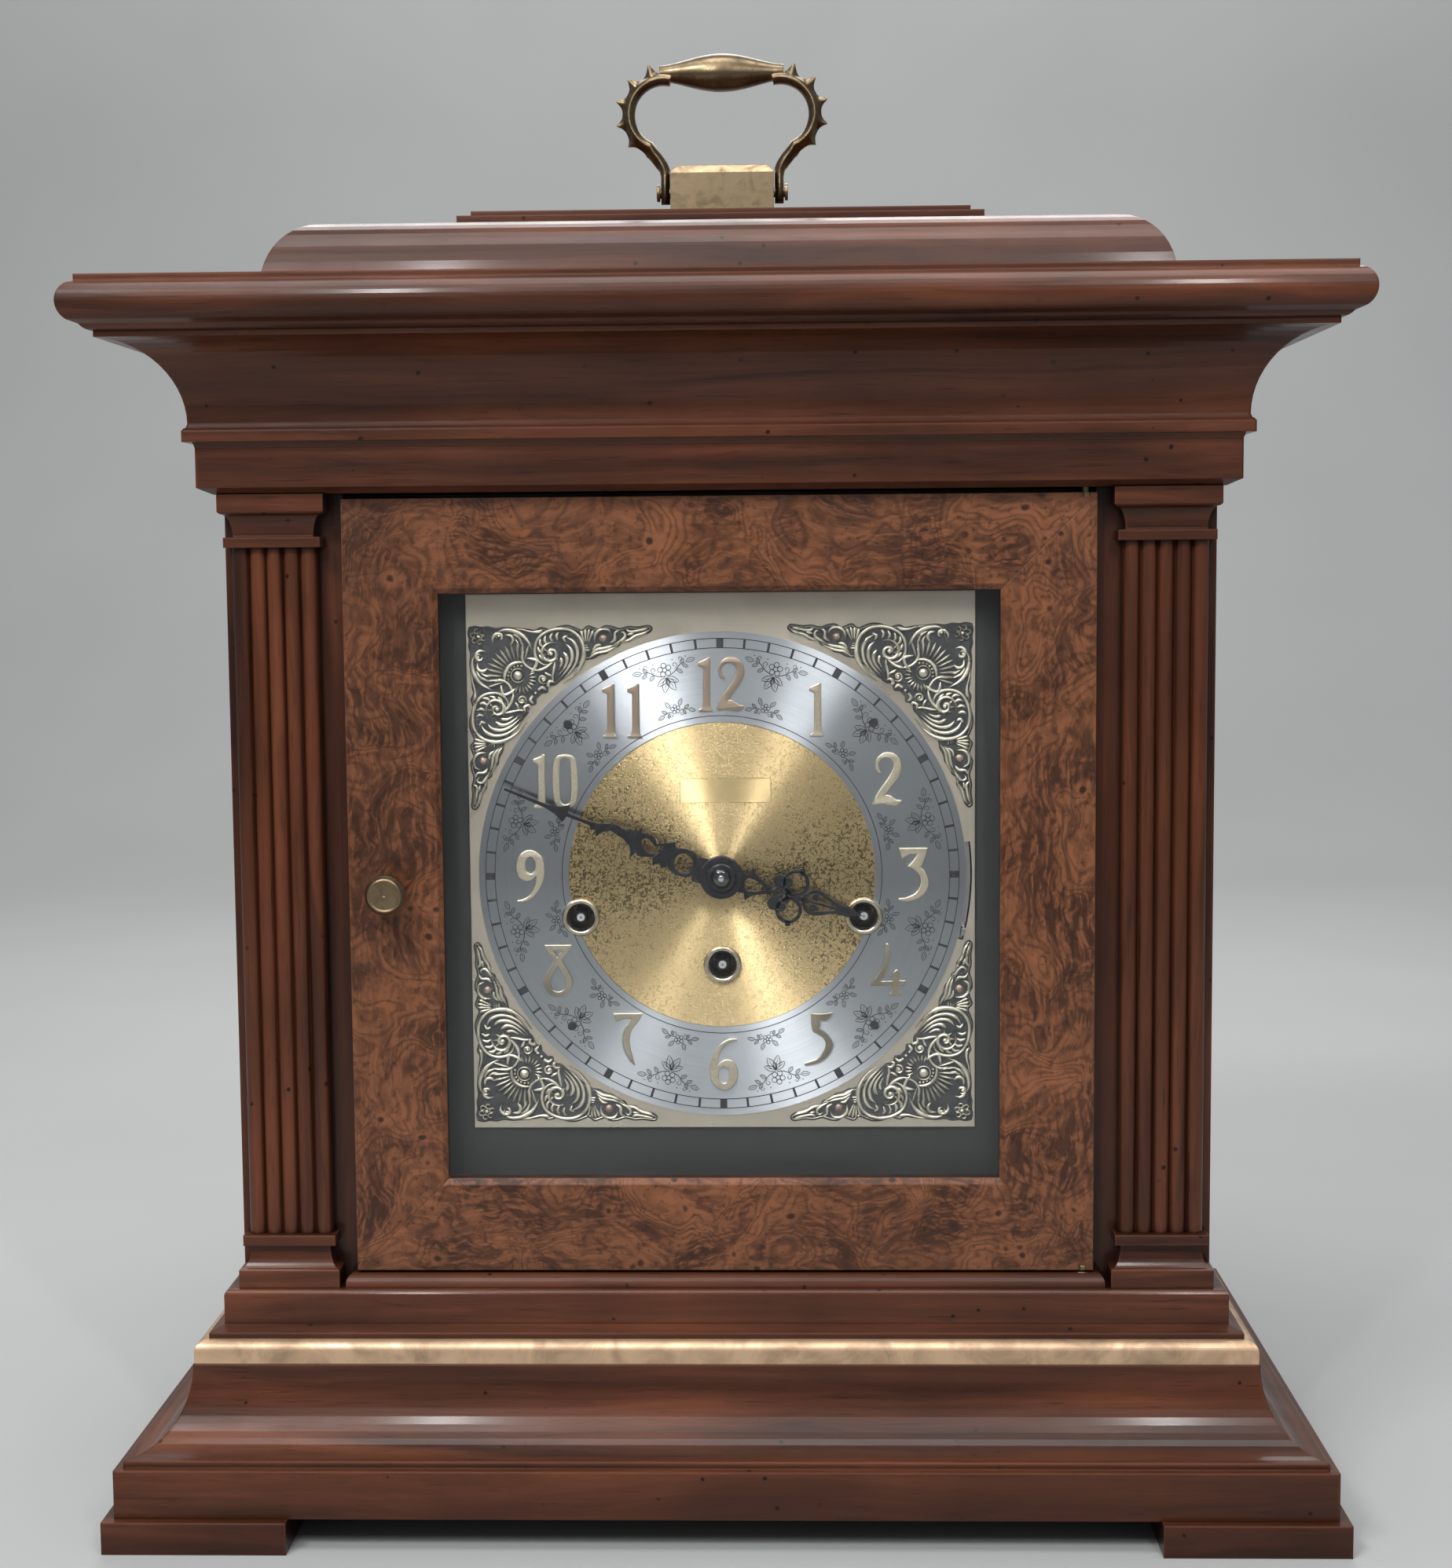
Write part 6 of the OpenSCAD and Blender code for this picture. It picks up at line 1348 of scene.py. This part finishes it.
class CLOCK_OT_stage(bpy.types.Operator):
    """Build the floor, the backdrop, the lamps and the camera"""

    bl_idname = "clock.stage"
    bl_label = "Stage"
    bl_options = {"REGISTER", "UNDO"}

    # Place in metres, angles in degrees, and the focal length in pixels of the photograph
    CAMERA_PLACE = (0.02567, -0.91390, 0.34183)
    CAMERA_YAW = 1.610
    CAMERA_PITCH = -5.215
    CAMERA_ROLL = 0.484
    FOCAL_PX = 2999.7
    IMAGE_HEIGHT = 1996.0
    SENSOR = 36.0
    # Name, place, the point it faces, width and height in metres, power in watts
    LAMPS = (
        ("lamp_left", (-0.257, -0.88, 0.86), (0.0, -0.05, 0.25), (0.03, 0.36), 2.7),
        ("lamp_right", (0.318, -0.88, 0.86), (0.0, -0.05, 0.25), (0.03, 0.36), 2.5),
        ("lamp_side", (-0.78, -1.15, 1.45), (0.0, 0.0, 0.30), (0.45, 0.20), 12.5),
        ("lamp_fill", (-0.10, -1.6, 2.05), (0.0, 0.0, 0.22), (1.8, 0.9), 11.0),
        ("lamp_top", (0.0, -0.35, 2.0), (0.0, 0.0, 0.4), (1.4, 0.8), 20.0),
        ("lamp_backdrop", (0.0, 1.3, 2.3), (0.0, 2.6, 0.6), (2.6, 0.5), 32.0),
        ("lamp_back", (0.0, 1.1, 1.3), (0.0, 0.0, 0.3), (1.2, 0.6), 10.0),
    )
    SKY = 0.29
    # The sheet's near and far ends, the radius of its bend, its top and half its width, in metres
    SHEET_NEAR = -3.4
    SHEET_FAR = 2.6
    SHEET_BEND = 1.0
    SHEET_TOP = 3.6
    SHEET_HALF = 4.4

    def execute(self, context):
        self.floor(context.scene.clock_finishes.floor)
        for lamp in self.LAMPS:
            self.lamp(*lamp)
        self.world()
        self.camera()
        bpy.context.scene.view_settings.view_transform = "Standard"
        return {"FINISHED"}

    def floor(self, colour):
        """A sheet that lies flat and curves up behind the clock."""
        bend = self.SHEET_BEND
        start = self.SHEET_FAR - bend
        line = [(self.SHEET_NEAR, 0.0), (start, 0.0)]
        line += [(start + bend * math.sin(a), bend - bend * math.cos(a))
                 for a in (math.pi / 2 * i / 16 for i in range(1, 17))]
        line.append((self.SHEET_FAR, self.SHEET_TOP))
        verts = [(x, y, z) for y, z in line for x in (-self.SHEET_HALF, self.SHEET_HALF)]
        faces = [(2 * i, 2 * i + 1, 2 * i + 3, 2 * i + 2) for i in range(len(line) - 1)]
        data = bpy.data.meshes.new("floor")
        data.from_pydata(verts, [], faces)
        for face in data.polygons:
            face.use_smooth = True
        sheet = bpy.data.objects.new("floor", data)
        bpy.context.scene.collection.objects.link(sheet)
        s = Shader("plain_floor")
        tint = s.mix(s.span(s.noise(s.place, 3.0, 2.0), 0.3, 0.7), tone(colour, 0.97), tone(colour, 1.03))
        data.materials.append(s.finish(tint, 0.7))

    def lamp(self, name, place, aim, size, power):
        data = bpy.data.lights.new(name, "AREA")
        data.shape = "RECTANGLE"
        data.size, data.size_y = size
        data.energy = power
        made = bpy.data.objects.new(name, data)
        made.location = place
        made.rotation_euler = (Vector(aim) - Vector(place)).to_track_quat("-Z", "Y").to_euler()
        bpy.context.scene.collection.objects.link(made)

    def world(self):
        world = bpy.data.worlds.new("studio")
        world.use_nodes = True
        sky = world.node_tree.nodes["Background"]
        sky.inputs["Color"].default_value = (1.0, 1.0, 1.0, 1.0)
        sky.inputs["Strength"].default_value = self.SKY
        bpy.context.scene.world = world

    def camera(self):
        data = bpy.data.cameras.new("camera")
        data.sensor_fit = "AUTO"
        data.sensor_width = self.SENSOR
        data.lens = self.SENSOR * self.FOCAL_PX / self.IMAGE_HEIGHT
        data.clip_start = 0.05
        made = bpy.data.objects.new("camera", data)
        made.matrix_world = camera_matrix(self.CAMERA_PLACE, math.radians(self.CAMERA_YAW),
                                          math.radians(self.CAMERA_PITCH), math.radians(self.CAMERA_ROLL))
        bpy.context.scene.collection.objects.link(made)
        bpy.context.scene.camera = made


OPERATORS = (
    CLOCK_OT_case_finish,
    CLOCK_OT_fittings_finish,
    CLOCK_OT_dial_finish,
    CLOCK_OT_dial_print,
    CLOCK_OT_numerals,
    CLOCK_OT_corner_ornaments,
    CLOCK_OT_hands,
    CLOCK_OT_grommets,
    CLOCK_OT_handle,
    CLOCK_OT_stage,
)


class CLOCK_PT_panel(bpy.types.Panel):
    """Lists the steps that finish the clock"""

    bl_idname = "CLOCK_PT_panel"
    bl_label = "Mantel Clock"
    bl_space_type = "VIEW_3D"
    bl_region_type = "UI"
    bl_category = "Clock"

    def draw(self, context):
        for operator in OPERATORS:
            self.layout.operator(operator.bl_idname)
        for group in (context.scene.clock_sizes, context.scene.clock_finishes):
            column = self.layout.column()
            for name in group.__annotations__:
                column.prop(group, name)


CLASSES = (ClockSizes, ClockFinishes, *OPERATORS, CLOCK_PT_panel)


def register():
    for item in CLASSES:
        bpy.utils.register_class(item)
    bpy.types.Scene.clock_sizes = PointerProperty(type=ClockSizes)
    bpy.types.Scene.clock_finishes = PointerProperty(type=ClockFinishes)


def unregister():
    del bpy.types.Scene.clock_finishes
    del bpy.types.Scene.clock_sizes
    for item in reversed(CLASSES):
        bpy.utils.unregister_class(item)


def main():
    register()
    for operator in OPERATORS:
        group, name = operator.bl_idname.split(".")
        getattr(getattr(bpy.ops, group), name)()


if __name__ == "__main__":
    main()
